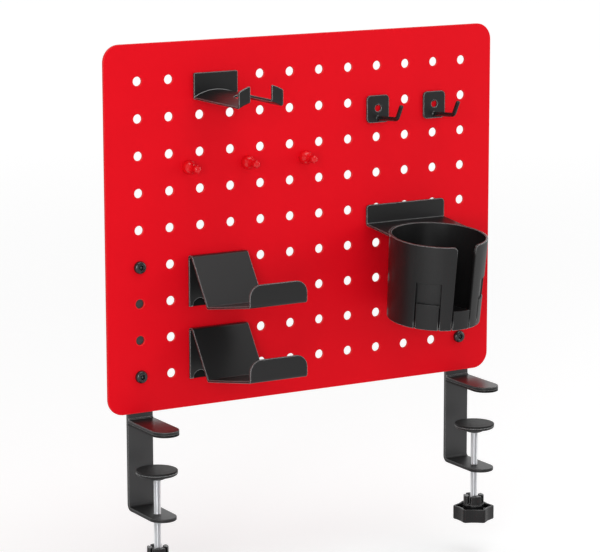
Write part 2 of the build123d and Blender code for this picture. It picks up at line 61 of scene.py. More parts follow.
ahead = np.array([sin(AZIMUTH) * cos(TILT), cos(AZIMUTH) * cos(TILT), -sin(TILT)])
level_right = np.array([cos(AZIMUTH), -sin(AZIMUTH), 0.0])
level_up = np.cross(level_right, ahead)
lens = bpy.data.cameras.new("long_lens")
lens.lens, lens.sensor_width, lens.sensor_fit = FOCAL_LENGTH, FILM_WIDTH, "HORIZONTAL"
lens.clip_start, lens.clip_end = 0.05, 50.0
camera = bpy.data.objects.new("camera", lens)
camera.matrix_world = standing(level_right * cos(ROLL) + level_up * sin(ROLL),
                               level_up * cos(ROLL) - level_right * sin(ROLL), -ahead, EYE)
bpy.context.scene.collection.objects.link(camera)
bpy.context.scene.camera = camera
bpy.context.scene.view_settings.view_transform = "Standard"


def soft_box(name, place, aim, width, height, watts):
    """A rectangular lamp at a place, in metres, that faces the point it is aimed at."""
    lamp = bpy.data.lights.new(name, "AREA")
    lamp.shape, lamp.size, lamp.size_y, lamp.energy = "RECTANGLE", width, height, watts
    box = bpy.data.objects.new(name, lamp)
    back = np.array(place) - np.array(aim)
    back /= np.linalg.norm(back)
    side = np.cross([0.0, 0.0, 1.0], back)
    side /= np.linalg.norm(side)
    box.matrix_world = standing(side, np.cross(back, side), back, place)
    bpy.context.scene.collection.objects.link(box)


soft_box("front_left_box", (-1.35, -1.75, 0.45), (0.0, 0.0, 0.0), 0.9, 1.1, 20.5)
soft_box("overhead_box", (0.15, -0.6, 1.6), (0.0, -0.02, 0.1), 1.5, 0.8, 7.0)
soft_box("right_box", (1.7, -0.9, 0.5), (0.0, 0.0, 0.1), 0.7, 1.2, 7.0)


def wired(owner):
    """Empties the node tree of a material or world. Returns the tree, and a function that adds a node to
    it with inputs set by name, each to a value or to another node's output."""
    owner.use_nodes = True
    tree = owner.node_tree
    tree.nodes.clear()

    def add(kind, **inputs):
        node = tree.nodes.new(kind)
        for name, value in inputs.items():
            socket = node.inputs[name.replace("_", " ")]
            if isinstance(value, bpy.types.NodeSocket):
                tree.links.new(value, socket)
            else:
                socket.default_value = value
        return node

    return tree, add


# Glossy surfaces reflect a room that is dark in front of the board and bright behind it.
room = bpy.data.worlds.new("white_room")
bpy.context.scene.world = room
tree, add = wired(room)
ray = add("ShaderNodeLightPath")
direction = add("ShaderNodeSeparateXYZ", Vector=add("ShaderNodeTexCoord").outputs["Generated"])
rearward = add("ShaderNodeMapRange", Value=direction.outputs["Y"], From_Min=-0.3, From_Max=0.6, To_Min=0.35,
               To_Max=1.2)
mirrored = add("ShaderNodeMix", Factor=ray.outputs["Is Glossy Ray"], A=0.52, B=rearward.outputs["Result"])
looked_at = add("ShaderNodeMix", Factor=ray.outputs["Is Camera Ray"], A=mirrored.outputs["Result"], B=1.0)
light = add("ShaderNodeBackground", Color=(1, 1, 1, 1), Strength=looked_at.outputs["Result"])
add("ShaderNodeOutputWorld", Surface=light.outputs[0])

# The paper keeps the board's shadow, and what the camera sees of it brightens to white with distance.
floor_mesh = bpy.data.meshes.new("paper_floor")
floor_corners = [(-1, -1), (1, -1), (1, 1), (-1, 1)]
floor_mesh.from_pydata([(x * FLOOR_HALF, y * FLOOR_HALF, FLOOR_HEIGHT) for x, y in floor_corners], [],
                       [(0, 1, 2, 3)])
paper_floor = bpy.data.objects.new("paper_floor", floor_mesh)
bpy.context.scene.collection.objects.link(paper_floor)
paper = bpy.data.materials.new("white_paper")
tree, add = wired(paper)
ray = add("ShaderNodeLightPath")
matt = add("ShaderNodeBsdfDiffuse", Color=(0.74, 0.74, 0.74, 1))
reach = add("ShaderNodeVectorMath", Vector=add("ShaderNodeTexCoord").outputs["Object"])
reach.operation = "LENGTH"
glow = add("ShaderNodeMapRange", Value=reach.outputs["Value"], From_Min=0.3, From_Max=3.0, To_Min=0.43,
           To_Max=0.62)
own_light = add("ShaderNodeEmission", Color=(1, 1, 1, 1), Strength=glow.outputs["Result"])
both = add("ShaderNodeAddShader")
tree.links.new(matt.outputs[0], both.inputs[0])
tree.links.new(own_light.outputs[0], both.inputs[1])
shown = add("ShaderNodeMixShader", Fac=ray.outputs["Is Camera Ray"])
tree.links.new(matt.outputs[0], shown.inputs[1])
tree.links.new(both.outputs[0], shown.inputs[2])
add("ShaderNodeOutputMaterial", Surface=shown.outputs[0])
floor_mesh.materials.append(paper)

# ---- Perforated panel ---------------------------------------------------------------------------
# A 2 mm steel sheet, 368 x 300 mm with 14 mm corners, punched with 12 x 9 round holes at a pitch of
# 28 x 30 mm and powder coated red. Punching and coating leave every edge slightly rounded.

PANEL_WIDTH, PANEL_HEIGHT, PANEL_CORNER, SHEET = 368.0, 300.0, 14.0, 2.0
PITCH_X, PITCH_Z, COLUMNS, ROWS, HOLE_RADIUS = 28.0, 30.0, 12, 9, 3.75
PANEL_MIDDLE = 159.5
MARGIN_X = (PANEL_WIDTH - (COLUMNS - 1) * PITCH_X) / 2
MARGIN_Z = (PANEL_HEIGHT - (ROWS - 1) * PITCH_Z) / 2


def hole_x(column):
    """Columns are counted from the left, and rows from the top, both from 0."""
    return (column - (COLUMNS - 1) / 2) * PITCH_X


def hole_z(row):
    return PANEL_MIDDLE + ((ROWS - 1) / 2 - row) * PITCH_Z


def grid(rows, columns, closed=False, start=0):
    """Corner indices of the quads of a grid of points, row by row; closed joins its last column to its
    first, and start is the index of its first point."""
    here = np.arange(rows * columns).reshape(rows, columns) + start
    if closed:
        here = np.hstack([here, here[:, :1]])
    return np.stack([here[:-1, :-1], here[1:, :-1], here[1:, 1:], here[:-1, 1:]], axis=-1).reshape(-1, 4)


def made_piece(name, parts, material, rounding=0.0, thickness=0.0, segments=2):
    """An object from (points, faces) parts: doubles are merged, a sheet gets its thickness to both sides
    of its middle surface, and edges sharper than 50 degrees get a rounding of that radius."""
    shift, points, faces = 0, [], []
    for part_points, part_faces in parts:
        points.append(np.reshape(part_points, (-1, 3)))
        faces.append(np.asarray(part_faces) + shift)
        shift += len(points[-1])
    mesh = bpy.data.meshes.new(name)
    mesh.from_pydata((np.vstack(points) * 0.001).tolist(), [], np.vstack(faces).tolist())
    edit = bmesh.new()
    edit.from_mesh(mesh)
    bmesh.ops.remove_doubles(edit, verts=edit.verts, dist=2e-6)
    bmesh.ops.recalc_face_normals(edit, faces=edit.faces)
    edit.to_mesh(mesh)
    edit.free()
    mesh.polygons.foreach_set("use_smooth", np.ones(len(mesh.polygons), bool))
    mesh.materials.append(material)
    piece = bpy.data.objects.new(name, mesh)
    bpy.context.scene.collection.objects.link(piece)
    if thickness:
        wall = piece.modifiers.new("thickness", "SOLIDIFY")
        wall.thickness, wall.offset, wall.use_even_offset = thickness * 0.001, 0.0, True
    if rounding:
        edge = piece.modifiers.new("rounding", "BEVEL")
        edge.width, edge.segments, edge.limit_method = rounding * 0.001, segments, "ANGLE"
        edge.angle_limit, edge.use_clamp_overlap, edge.loop_slide = radians(50), False, False
    flats = piece.modifiers.new("flat_faces", "WEIGHTED_NORMAL")
    flats.keep_sharp = False
    return piece


def belongs(piece, body, slot, *nodes):
    """The piece moves with that body and stands for those CAD nodes, which are hidden. slot is not used."""
    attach(piece, body)
    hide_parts(*nodes)


def finish(name, colour, drift, roughness, grain, relief, specular=0.5, metal=0.0, coat=0.0,
           stretch=(1, 1, 1), edge=None, edge_reach=0.8, spared=None, below=None):
    """A coated, moulded or plated surface. Its colour drifts by that share over centimetres and its
    roughness over millimetres. Fine relief, so many features per metre and so many mm high, is orange
    peel, moulding texture or plating, and stretch draws it out along an axis. edge is a lighter colour on
    edges, edge_reach mm to both sides of one, where a rounded normal turns away from the true one: partly
    the coat worn down, partly a painted highlight. spared is a height and how far above and below it, in mm,
    edges keep the plain colour, without that painted highlight. below is a height in mm and the colour under
    it."""
    material = bpy.data.materials.new(name)
    tree, add = wired(material)
    place = add("ShaderNodeTexCoord").outputs["Object"]
    drawn = add("ShaderNodeMapping", Vector=place, Scale=stretch)
    broad = add("ShaderNodeTexNoise", Vector=place, Scale=14.0, Detail=3.0)
    mottle = add("ShaderNodeTexNoise", Vector=place, Scale=420.0, Detail=4.0)
    fine = add("ShaderNodeTexNoise", Vector=drawn.outputs[0], Scale=grain, Detail=3.0, Roughness=0.6)
    uneven = add("ShaderNodeMapRange", Value=mottle.outputs["Fac"], To_Min=roughness * 0.82,
                 To_Max=min(1.0, roughness * 1.18))
    peel = add("ShaderNodeBump", Height=fine.outputs["Fac"], Strength=1.0, Distance=relief * 0.001)
    soft_edge = 0.004

    def blended(share, first, second):
        """Blends two colours, each given as numbers or as another node's output."""
        mix = add("ShaderNodeMix", Factor=share)
        mix.data_type = "RGBA"
        for socket, source in ((mix.inputs[6], first), (mix.inputs[7], second)):
            if isinstance(source, bpy.types.NodeSocket):
                tree.links.new(source, socket)
            else:
                socket.default_value = (*source, 1)
        return mix.outputs[2]

    darker, lighter = [c * (1 - drift) for c in colour], [min(1.0, c * (1 + drift)) for c in colour]
    colours = blended(broad.outputs["Fac"], darker, lighter)
    if below:
        height, start = add("ShaderNodeSeparateXYZ", Vector=place).outputs["Z"], below[0] * 0.001
        over = add("ShaderNodeMapRange", Value=height, From_Min=start, From_Max=start + soft_edge)
        colours = blended(over.outputs["Result"], below[1], colours)
    # painted highlight: edges get a lighter colour, partly the coat worn down and partly a painted highlight
    if edge:
        rounded = add("ShaderNodeBevel", Radius=edge_reach * 0.001)
        rounded.samples = 6
        agree = add("ShaderNodeVectorMath", Vector=rounded.outputs[0])
        agree.operation = "DOT_PRODUCT"
        tree.links.new(add("ShaderNodeNewGeometry").outputs["Normal"], agree.inputs[1])
        worn_and_highlit_edges = add("ShaderNodeMapRange", Value=agree.outputs["Value"], From_Min=0.995, From_Max=0.9,
                   To_Min=0.0, To_Max=0.9)
        share = worn_and_highlit_edges.outputs["Result"]
        if spared:
            middle, reach = spared[0] * 0.001, spared[1] * 0.001
            off = add("ShaderNodeMath", Value=add("ShaderNodeSeparateXYZ", Vector=place).outputs["Z"])
            off.operation = "SUBTRACT"
            off.inputs[1].default_value = middle
            away = add("ShaderNodeMath", Value=off.outputs[0])
            away.operation = "ABSOLUTE"
            edges_outside_spared_band = add("ShaderNodeMapRange", Value=away.outputs[0], From_Min=reach,
                         From_Max=reach + soft_edge)
            product = add("ShaderNodeMath", Value=edges_outside_spared_band.outputs["Result"])
            product.operation = "MULTIPLY"
            tree.links.new(share, product.inputs[1])
            share = product.outputs[0]
        colours = blended(share, colours, edge)
    skin = add("ShaderNodeBsdfPrincipled", Normal=peel.outputs[0], Roughness=uneven.outputs[0],
               Base_Color=colours, Metallic=metal, Specular_IOR_Level=specular, Coat_Weight=coat,
               Coat_Roughness=0.08)
    add("ShaderNodeOutputMaterial", Surface=skin.outputs[0])
    return material


def ray_to_edge(direction, left, right, down, up):
    """How far rays from (0, 0) run before they leave a rectangle: the lesser of half width over the
    direction's width and half height over its height."""
    with np.errstate(divide="ignore"):
        across = np.where(direction[..., 0] > 0, right, left) / np.abs(direction[..., 0])
        along = np.where(direction[..., 1] > 0, up, down) / np.abs(direction[..., 1])
    return np.minimum(across, along)


# In degrees: rays to the corners of every kind of hole's share of the sheet, with some between them.
QUARTER_TURN = 90.0
SHARE_CORNERS = [(PITCH_Z / 2, MARGIN_X), (PITCH_Z / 2, PITCH_X / 2), (MARGIN_Z, PITCH_X / 2)]
RAYS = np.sort([0.0, 13.0, 36.5, 56.0, 77.0, *[np.degrees(np.arctan2(*corner)) for corner in SHARE_CORNERS]])
CORNER_RAYS = np.arange(24.0, 68.0, 3.0)


def hole_share(column, row):
    """The sheet's middle surface round one hole: along each ray from the hole's centre, from its rim to
    the edge of the hole's share of the sheet. At the panel's corners that edge is the corner's arc."""
    left = MARGIN_X if column == 0 else PITCH_X / 2
    right = MARGIN_X if column == COLUMNS - 1 else PITCH_X / 2
    down = MARGIN_Z if row == ROWS - 1 else PITCH_Z / 2
    up = MARGIN_Z if row == 0 else PITCH_Z / 2
    corner_quarters = {(COLUMNS - 1, 0): 0, (0, 0): 1, (0, ROWS - 1): 2, (COLUMNS - 1, ROWS - 1): 3}
    corner_quarter = corner_quarters.get((column, row))
    rays = []
    for quarter in range(4):
        own = RAYS if quarter % 2 == 0 else QUARTER_TURN - RAYS
        own = np.append(own, [0.0, *CORNER_RAYS] if quarter == corner_quarter else 0.0)
        own = np.unique(np.round(own, 6))
        rays.append(own[own < QUARTER_TURN - 0.1] + QUARTER_TURN * quarter)
    angle = np.radians(np.concatenate(rays))
    direction = np.stack([np.cos(angle), np.sin(angle)], axis=-1)
    reach = ray_to_edge(direction, left, right, down, up)
    if corner_quarter is not None:
        centre = np.array([(MARGIN_X - PANEL_CORNER) * (1 if column else -1),
                           (MARGIN_Z - PANEL_CORNER) * (-1 if row else 1)])
        tip = direction * reach[:, None]
        beyond = np.all((tip - centre) * np.sign(centre) > 0, axis=1)
        along = direction @ centre
        to_arc = along + np.sqrt(np.maximum(along**2 - centre @ centre + PANEL_CORNER**2, 0.0))
        reach = np.where(beyond, to_arc, reach)
    radius = np.stack([np.full_like(reach, HOLE_RADIUS), reach])
    points = np.stack([hole_x(column) + radius * direction[:, 0], np.full_like(radius, -SHEET / 2),
                       hole_z(row) + radius * direction[:, 1]], axis=-1)
    return points, grid(2, len(angle), closed=True)


# painted highlight: the pale red on the panel's edges is partly the coat worn down and partly a painted
# highlight
red_coat = finish("red_powder_coat", (0.74, 0.0028, 0.0105), drift=0.045, roughness=0.5, grain=900.0,
                  relief=0.02, specular=0.08, edge=(0.88, 0.16, 0.13))
shares = [hole_share(column, row) for column in range(COLUMNS) for row in range(ROWS)]
panel = made_piece("punched_panel", shares, red_coat, rounding=0.4, thickness=SHEET)
belongs(panel, "root", "red_powder_coat", "pegboard_panel")

# ---- Clamp straps ---------------------------------------------------------------------------------
# 23 x 3 mm steel bar behind the panel's outer columns of holes, bent forward 68.5 mm under the desk top
# to a half-round end. Two 6.5 mm holes take the panel screws, one 6.1 mm hole the clamp screw. The black
# coat is painted a lighter grey on the upright than on the foot: painted light, for how the upright is lit.

SIDES = {"left": hole_x(0), "right": hole_x(COLUMNS - 1)}
BAR, BAR_HALF, BAR_CORNER, BAR_BEND = 3.0, 11.5, 4.0, 4.0
STRAP_TIP, STRAP_FOOT, STRAP_TOP = -48.5, -68.5 - BAR / 2, 143.0
SCREW_Y, SCREW_HOLE_RADIUS, BOLT_HOLE_RADIUS = -28.0, 3.05, 3.25
BOLT_ROWS = (5, 8)
COAT_BLACK, WORN_AND_HIGHLIT_GREY = (0.0105, 0.0105, 0.0108), (0.62, 0.62, 0.62)


def arc(centre, radius, start, stop, steps):
    """Points on a circle from one angle to another, in degrees."""
    angle = np.radians(np.linspace(start, stop, steps))
    return np.stack([centre[0] + radius * np.cos(angle), centre[1] + radius * np.sin(angle)], axis=-1)


def circle(centre, radius, steps):
    """A closed loop of that many points at even angles."""
    return arc(centre, radius, 0, 360 - 360 / steps, steps)


def inside(points, loop):
    """Which points lie inside a closed loop: those whose ray to one side crosses it an odd number of
    times."""
    x, y = points[:, :1], points[:, 1:]
    ax, ay = loop[:, 0], loop[:, 1]
    bx, by = np.roll(ax, -1), np.roll(ay, -1)
    spans = (ay > y) != (by > y)
    with np.errstate(divide="ignore", invalid="ignore"):
        crossing = ax + (y - ay) * (bx - ax) / (by - ay)
    return (np.count_nonzero(spans & (x < crossing), axis=1) % 2) == 1


def blank(outline, holes=(), creases=()):
    """Triangles of a flat blank: closed loops of points for its outline and holes, and crease lines
    given by their ends, along which it will be bent."""
    loops = [np.asarray(outline, float), *[np.asarray(hole, float) for hole in holes]]
    points, edges = [], []
    for loop in loops:
        first = len(points)
        points += loop.tolist()
        edges += [(first + n, first + (n + 1) % len(loop)) for n in range(len(loop))]
    for start, stop in creases:
        edges.append((len(points), len(points) + 1))
        points += [list(start), list(stop)]
    found = delaunay_2d_cdt([Vector(point) for point in points], edges, [], 0, 1e-4)
    flat, triangles = np.array([tuple(v) for v in found[0]]), np.array([tuple(f) for f in found[2]])
    middle = flat[triangles].mean(axis=1)
    keep = inside(middle, loops[0])
    for hole in loops[1:]:
        keep &= ~inside(middle, hole)
    span = flat[triangles]
    area = np.abs(np.cross(span[:, 1] - span[:, 0], span[:, 2] - span[:, 0]))
    return flat, triangles[keep & (area > 1e-4)]


def bent(corners, radii):
    """A path through corners (y, z) with each inner corner rounded by an arc that touches both of its
    sides, in steps of about 14 degrees, and how far along it each point is."""
    corners = np.asarray(corners, float)
    path = [corners[0]]
    for before, corner, after, radius in zip(corners, corners[1:], corners[2:], radii):
        come, go = before - corner, after - corner
        come, go = come / np.linalg.norm(come), go / np.linalg.norm(go)
        half = np.arccos(np.clip(come @ go, -1, 1)) / 2
        middle = corner + (come + go) / np.linalg.norm(come + go) * radius / np.sin(half)
        first = corner + come * radius / np.tan(half) - middle
        last = corner + go * radius / np.tan(half) - middle
        turn = np.arctan2(first[0] * last[1] - first[1] * last[0], first @ last)
        for step in np.linspace(0, turn, max(3, int(abs(np.degrees(turn)) / 14) + 1)):
            c, s = np.cos(step), np.sin(step)
            path.append(middle + [c * first[0] - s * first[1], s * first[0] + c * first[1]])
    path.append(corners[-1])
    path = np.array(path)
    return path, np.append(0, np.cumsum(np.linalg.norm(np.diff(path, axis=0), axis=1)))


def folded(flat, x, path, length):
    """A blank's points (across, along) laid on a path in the plane of y and z."""
    return np.stack([x + flat[:, 0], np.interp(flat[:, 1], length, path[:, 0]),
                     np.interp(flat[:, 1], length, path[:, 1])], axis=-1)


def across(lengths, half):
    """Crease lines right across a strip at these places along it."""
    return [((-half, along), (half, along)) for along in lengths]


# painted highlight: the light grey on every edge is partly the coat worn down and partly a painted highlight
black_coat = finish("black_powder_coat", COAT_BLACK, drift=0.12, roughness=0.34, grain=950.0, relief=0.018,
                    specular=0.42, edge=WORN_AND_HIGHLIT_GREY, edge_reach=0.9)
# painted light: above z = -69 mm the strap is a lighter grey than its true black; its edges get the painted
# highlight too
lit_upright_bar_coat = finish("black_strap_coat_painted_lit_upright", (0.050, 0.050, 0.051), drift=0.16, roughness=0.42, grain=700.0,
                  relief=0.03, specular=0.42, edge=(0.40, 0.40, 0.40), below=(-69.0, COAT_BLACK))
path, length = bent([(STRAP_TIP, STRAP_FOOT), (BAR / 2, STRAP_FOOT), (BAR / 2, STRAP_TOP)], [BAR_BEND])
end = length[-1]
corner_x, corner_along = BAR_HALF - BAR_CORNER, end - BAR_CORNER
outline = np.vstack([arc((0, BAR_HALF), BAR_HALF, 180, 360, 25),
                     arc((corner_x, corner_along), BAR_CORNER, 0, 90, 6),
                     arc((-corner_x, corner_along), BAR_CORNER, 90, 180, 6)])
holes = [circle((0, SCREW_Y - STRAP_TIP), SCREW_HOLE_RADIUS, 32)]
holes += [circle((0, end - STRAP_TOP + hole_z(row)), BOLT_HOLE_RADIUS, 24) for row in BOLT_ROWS]
flat, triangles = blank(outline, holes, across(length[1:-1], 20))
for side, x in SIDES.items():
    strap = made_piece(f"clamp_strap_bar_{side}", [(folded(flat, x, path, length), triangles)], lit_upright_bar_coat,
                       rounding=0.5, thickness=BAR)
    belongs(strap, "root", "black_powder_coat", f"clamp_strap_{side}")

# ---- Upper jaws and their rubber pads -------------------------------------------------------------
# A 23 x 3 mm tongue reaches 54.5 mm forward over the desk and is welded to the strap along a bead. The
# 1.5 mm rubber under it is in two layers; the upper one has a half-moon pocket at the front edge.

JAW_REACH, RUBBER = 54.5, 1.5
POCKET_HALF, POCKET_DEPTH = 5.0, 4.0
BEAD_SECTION = [(0.2, -0.6), (0.2, 1.25), (-0.35, 0.95), (-0.75, 0.55), (-1.15, 0.1), (-1.25, -0.6)]


def level(outline, x, z):
    """A flat blank at one height."""
    flat, triangles = blank(outline)
    return np.stack([x + flat[:, 0], flat[:, 1], np.full(len(flat), z)], axis=-1), triangles


def weld_bead(x, y, z, steps=60):
    """A bead across the bar: its section, carried along x, swells by two sines of 6 and 3 percent."""
    along = np.linspace(0.3 - BAR_HALF, BAR_HALF - 0.3, steps)
    size = (1 + 0.06 * np.sin(along * 4.2) + 0.03 * np.sin(along * 9.1 + 1))[:, None]
    section = np.array(BEAD_SECTION)
    points = np.stack([np.broadcast_to(x + along[:, None], (steps, len(section))), y + size * section[:, 0],
                       z + size * section[:, 1]], axis=-1)
    cap = np.array([[5, 4, 3, 2], [5, 2, 1, 0]])
    last = len(section) * (steps - 1)
    return points, np.vstack([grid(steps, len(section), closed=True), cap, cap[:, ::-1] + last])


rubber = finish("black_rubber", (0.0095, 0.0095, 0.0095), drift=0.1, roughness=0.55, grain=1600.0,
                relief=0.03, specular=0.3)
nose_y = BAR_HALF - JAW_REACH
nose = arc((0, nose_y), BAR_HALF, 180, 360, 25)
root_edge = [(BAR_HALF, 0), (-BAR_HALF, 0)]
tongue = np.vstack([nose, root_edge])
spread = np.linspace(-1, 1, 13)[1:-1]
moon = np.stack([POCKET_HALF * spread, -JAW_REACH + POCKET_DEPTH * np.sqrt(1 - spread**2)], axis=-1)
rim_y = nose_y - sqrt(BAR_HALF**2 - POCKET_HALF**2)
pocketed = np.vstack([nose[nose[:, 0] < -POCKET_HALF], [(-POCKET_HALF, rim_y)], moon, [(POCKET_HALF, rim_y)],
                      nose[nose[:, 0] > POCKET_HALF], root_edge])
for side, x in SIDES.items():
    jaw = made_piece(f"jaw_tongue_{side}", [level(tongue, x, RUBBER + BAR / 2)], black_coat, rounding=0.55,
                     thickness=BAR, segments=3)
    belongs(jaw, "root", "black_powder_coat", f"upper_jaw_{side}")
    weld = made_piece(f"jaw_weld_{side}", [weld_bead(x, -0.1, RUBBER + BAR)], black_coat)
    belongs(weld, "root", "black_powder_coat", f"upper_jaw_{side}")
    layers = [level(tongue, x, RUBBER / 4), level(pocketed, x, RUBBER * 3 / 4)]
    pad = made_piece(f"jaw_rubber_{side}", layers, rubber, rounding=0.18, thickness=0.74)
    belongs(pad, "root", "black_rubber", f"jaw_pad_{side}")

# ---- Pressure discs ---------------------------------------------------------------------------------
# A 34 mm disc of 2.5 mm steel with a 15 mm hub, centred 28 mm in front of the panel's back, faced with
# 1.5 mm of rubber at z = -32. Turned round an upright axis; each edge is chamfered or rounded.

DISC_Z, DISC_RADIUS, DISC_PLATE, DISC_HUB_RADIUS, DISC_HUB, DISC_BORE = -32.0, 17.0, 2.5, 7.5, 3.5, 2.55
POLE = 0.01    # radius of the ring that stands for a point on the axis


def turned(rings, x=0.0, y=0.0, z=0.0, columns=56, facing=False):
    """A closed surface of rings (radius, height) round an upright axis, or round one that points to the
    front: radius times the angle's cosine and sine, and the height. A radius is one number, or one for
    each column where the ring isn't a circle."""
    angle = 2 * pi * np.arange(columns) / columns
    radius = np.array([np.broadcast_to(ring[0], columns) for ring in rings])
    height = np.array([np.full(columns, ring[1]) for ring in rings])
    first, second = radius * np.cos(angle), radius * np.sin(angle)
    if facing:
        points = np.stack([x + first, y - height, z + second], axis=-1)
    else:
        points = np.stack([x + first, y + second, z + height], axis=-1)
    return points, grid(len(rings), columns, closed=True)


back = -RUBBER - DISC_PLATE
foot = back - DISC_HUB
plate_profile = [
    (DISC_BORE, foot), (DISC_HUB_RADIUS - 1.2, foot), (DISC_HUB_RADIUS - 0.3, foot + 0.4),
    (DISC_HUB_RADIUS, foot + 1.2), (DISC_HUB_RADIUS, back - 0.3), (DISC_HUB_RADIUS + 0.4, back - 0.02),
    (DISC_RADIUS - 1.2, back), (DISC_RADIUS - 0.5, back + 0.4), (DISC_RADIUS, back + 1.2),
    (DISC_RADIUS, -RUBBER - 0.25), (DISC_RADIUS - 0.2, -RUBBER - 0.02), (DISC_BORE, -RUBBER),
    (DISC_BORE, foot)]
face_profile = [
    (POLE, -RUBBER), (DISC_RADIUS - 0.2, -RUBBER), (DISC_RADIUS, -RUBBER + 0.15), (DISC_RADIUS, -0.55),
    (DISC_RADIUS - 0.17, -0.2), (DISC_RADIUS - 0.6, 0.0), (12.0, 0.0), (11.8, -0.12), (11.6, 0.0), (POLE, 0.0)]
for side, x in SIDES.items():
    plate = made_piece(f"disc_plate_{side}", [turned(plate_profile, x, SCREW_Y, DISC_Z)], black_coat)
    belongs(plate, f"disc_{side}", "black_powder_coat", f"pressure_disc_{side}")
    face = made_piece(f"disc_rubber_{side}", [turned(face_profile, x, SCREW_Y, DISC_Z)], rubber)
    belongs(face, f"disc_{side}", "black_rubber", f"disc_pad_{side}")

# ---- Clamp screws -----------------------------------------------------------------------------------
# M6 rods, 76 mm of right-hand thread with a 1 mm pitch, from inside the knob up to the disc's hub.
# Bright zinc plate: a nearly white metal with fine turning marks.

ROD_FOOT, ROD_TOP = -115.5, -39.55


def threaded(low, high, crest=3.0, depth=0.42, pitch=1.0, columns=24, rows=8):
    """A right-hand thread round an upright axis. Its phase is height / pitch less the share of a turn, and
    the radius falls by depth times a triangle wave of it, cut flat at crests and roots. Both ends close."""
    count = int(round((high - low) / pitch * rows)) + 1
    height, angle = np.linspace(low, high, count), 2 * pi * np.arange(columns) / columns
    phase = (height[:, None] / pitch - angle / (2 * pi)) % 1.0
    radius = crest - depth * np.clip(1.6 * (1 - np.abs(2 * phase - 1)) - 0.3, 0, 1)
    radius[[0, -1]] = crest - depth
    return turned([(POLE, low), *zip(radius, height), (POLE, high)], columns=columns)


bright_zinc = finish("bright_zinc", (0.80, 0.81, 0.83), drift=0.03, roughness=0.34, grain=700.0, relief=0.012,
                     metal=1.0, stretch=(1, 1, 6))
for side, x in SIDES.items():
    points, faces = threaded(ROD_FOOT, ROD_TOP)
    rod = made_piece(f"screw_thread_{side}", [(points + (x, SCREW_Y, 0), faces)], bright_zinc)
    belongs(rod, f"screw_{side}", "zinc_plated_steel", f"clamp_screw_{side}")

# ---- Knobs --------------------------------------------------------------------------------------------
# Moulded black nylon, 12 mm high at the rim, with six rounded corners and hollow sides, a 2 mm wall and
# floor, six webs, and a hub of 17.6 mm whose top is slotted crosswise. It is fixed on the clamp screw.

KNOB_FOOT, KNOB_RIM, HUB_TOP, SLOT_FLOOR = -117.5, -105.5, -96.0, -103.5
KNOB_WALL, KNOB_WEB, WEB_HEIGHT, HUB_RADIUS, HUB_BORE, SLOT_HALF = 2.0, 1.6, 8.0, 8.8, 4.6, 1.8
SCOOP_CENTRE, SCOOP_RADIUS, CORNER_CENTRE, CORNER_RADIUS = 48.28, 33.56, 15.02, 2.5
KNOB_TURN, CORNER_SPREAD = radians(29.0), radians(9.0)


def knob_outline(columns):
    """Outline of the knob in polar form: a hexagon whose sides are arcs of 33.56 mm round points 48.28 mm
    out, and whose corners, 9 degrees to both sides, are arcs of 2.5 mm round points 15.02 mm out."""
    angle = 2 * pi * np.arange(columns) / columns
    from_corner = np.abs((angle + pi / 6) % (pi / 3) - pi / 6)
    from_side = pi / 6 - from_corner
    to_side = np.sqrt(SCOOP_RADIUS**2 - (SCOOP_CENTRE * np.sin(from_side)) ** 2)
    scoop = SCOOP_CENTRE * np.cos(from_side) - to_side
    to_nose = np.sqrt(np.maximum(CORNER_RADIUS**2 - (CORNER_CENTRE * np.sin(from_corner)) ** 2, 0))
    corner = CORNER_CENTRE * np.cos(from_corner) + to_nose
    return np.where(from_corner < CORNER_SPREAD, corner, scoop)


def shell_of_knob(columns=144):
    """Foot, outer side, rim, inner side and floor as rings of one closed surface."""
    outer = knob_outline(columns)
    floor = KNOB_FOOT + KNOB_WALL
    rings = [(POLE, KNOB_FOOT), (outer - 0.9, KNOB_FOOT), (outer - 0.25, KNOB_FOOT + 0.25),
             (outer, KNOB_FOOT + 0.9), (outer, KNOB_RIM - 0.7), (outer - 0.2, KNOB_RIM - 0.2),
             (outer - 0.7, KNOB_RIM), (outer - 1.3, KNOB_RIM), (outer - 1.8, KNOB_RIM - 0.2),
             (outer - KNOB_WALL, KNOB_RIM - 0.7), (outer - KNOB_WALL, floor), (8.0, floor), (POLE, floor)]
    return turned(rings, columns=columns)


def mapped_block(place, counts):
    """The six sides of a unit cube, gridded, with place(u, v, w) giving each point."""
    points, faces, start = [], [], 0
    for fixed in range(3):
        free = [axis for axis in range(3) if axis != fixed]
        first, second = np.meshgrid(*[np.linspace(0, 1, counts[axis] + 1) for axis in free], indexing="ij")
        for end in (0.0, 1.0):
            sides = [None, None, None]
            sides[fixed], sides[free[0]], sides[free[1]] = np.full_like(first, end), first, second
            points.append(np.stack(place(*sides), axis=-1).reshape(-1, 3))
            faces.append(grid(*first.shape, start=start))
            start += first.size
    return np.vstack(points), np.vstack(faces)


def castle(quarter):
    """One of the hub's four blocks between the slots: its sides keep half a slot from the slots' middles,
    an angle whose sine is half a slot over the radius."""
    low = SLOT_FLOOR - 1

    def place(u, v, w):
        radius = HUB_BORE + (HUB_RADIUS - HUB_BORE) * v
        edge = np.arcsin(SLOT_HALF / radius)
        angle = edge + u * (pi / 2 - 2 * edge) + quarter * pi / 2
        return radius * np.cos(angle), radius * np.sin(angle), low + w * (HUB_TOP - low)
    return mapped_block(place, (8, 1, 1))


def web(turn):
    """A wall from the hub to a corner of the shell: a straight block, turned round the knob's axis."""
    def place(u, v, w):
        along, aside = 8.0 + u * 9.0, (v - 0.5) * KNOB_WEB
        c, s, height = cos(turn), sin(turn), KNOB_FOOT + 1.5 + w * WEB_HEIGHT
        return along * c - aside * s, along * s + aside * c, height
    return mapped_block(place, (1, 1, 1))
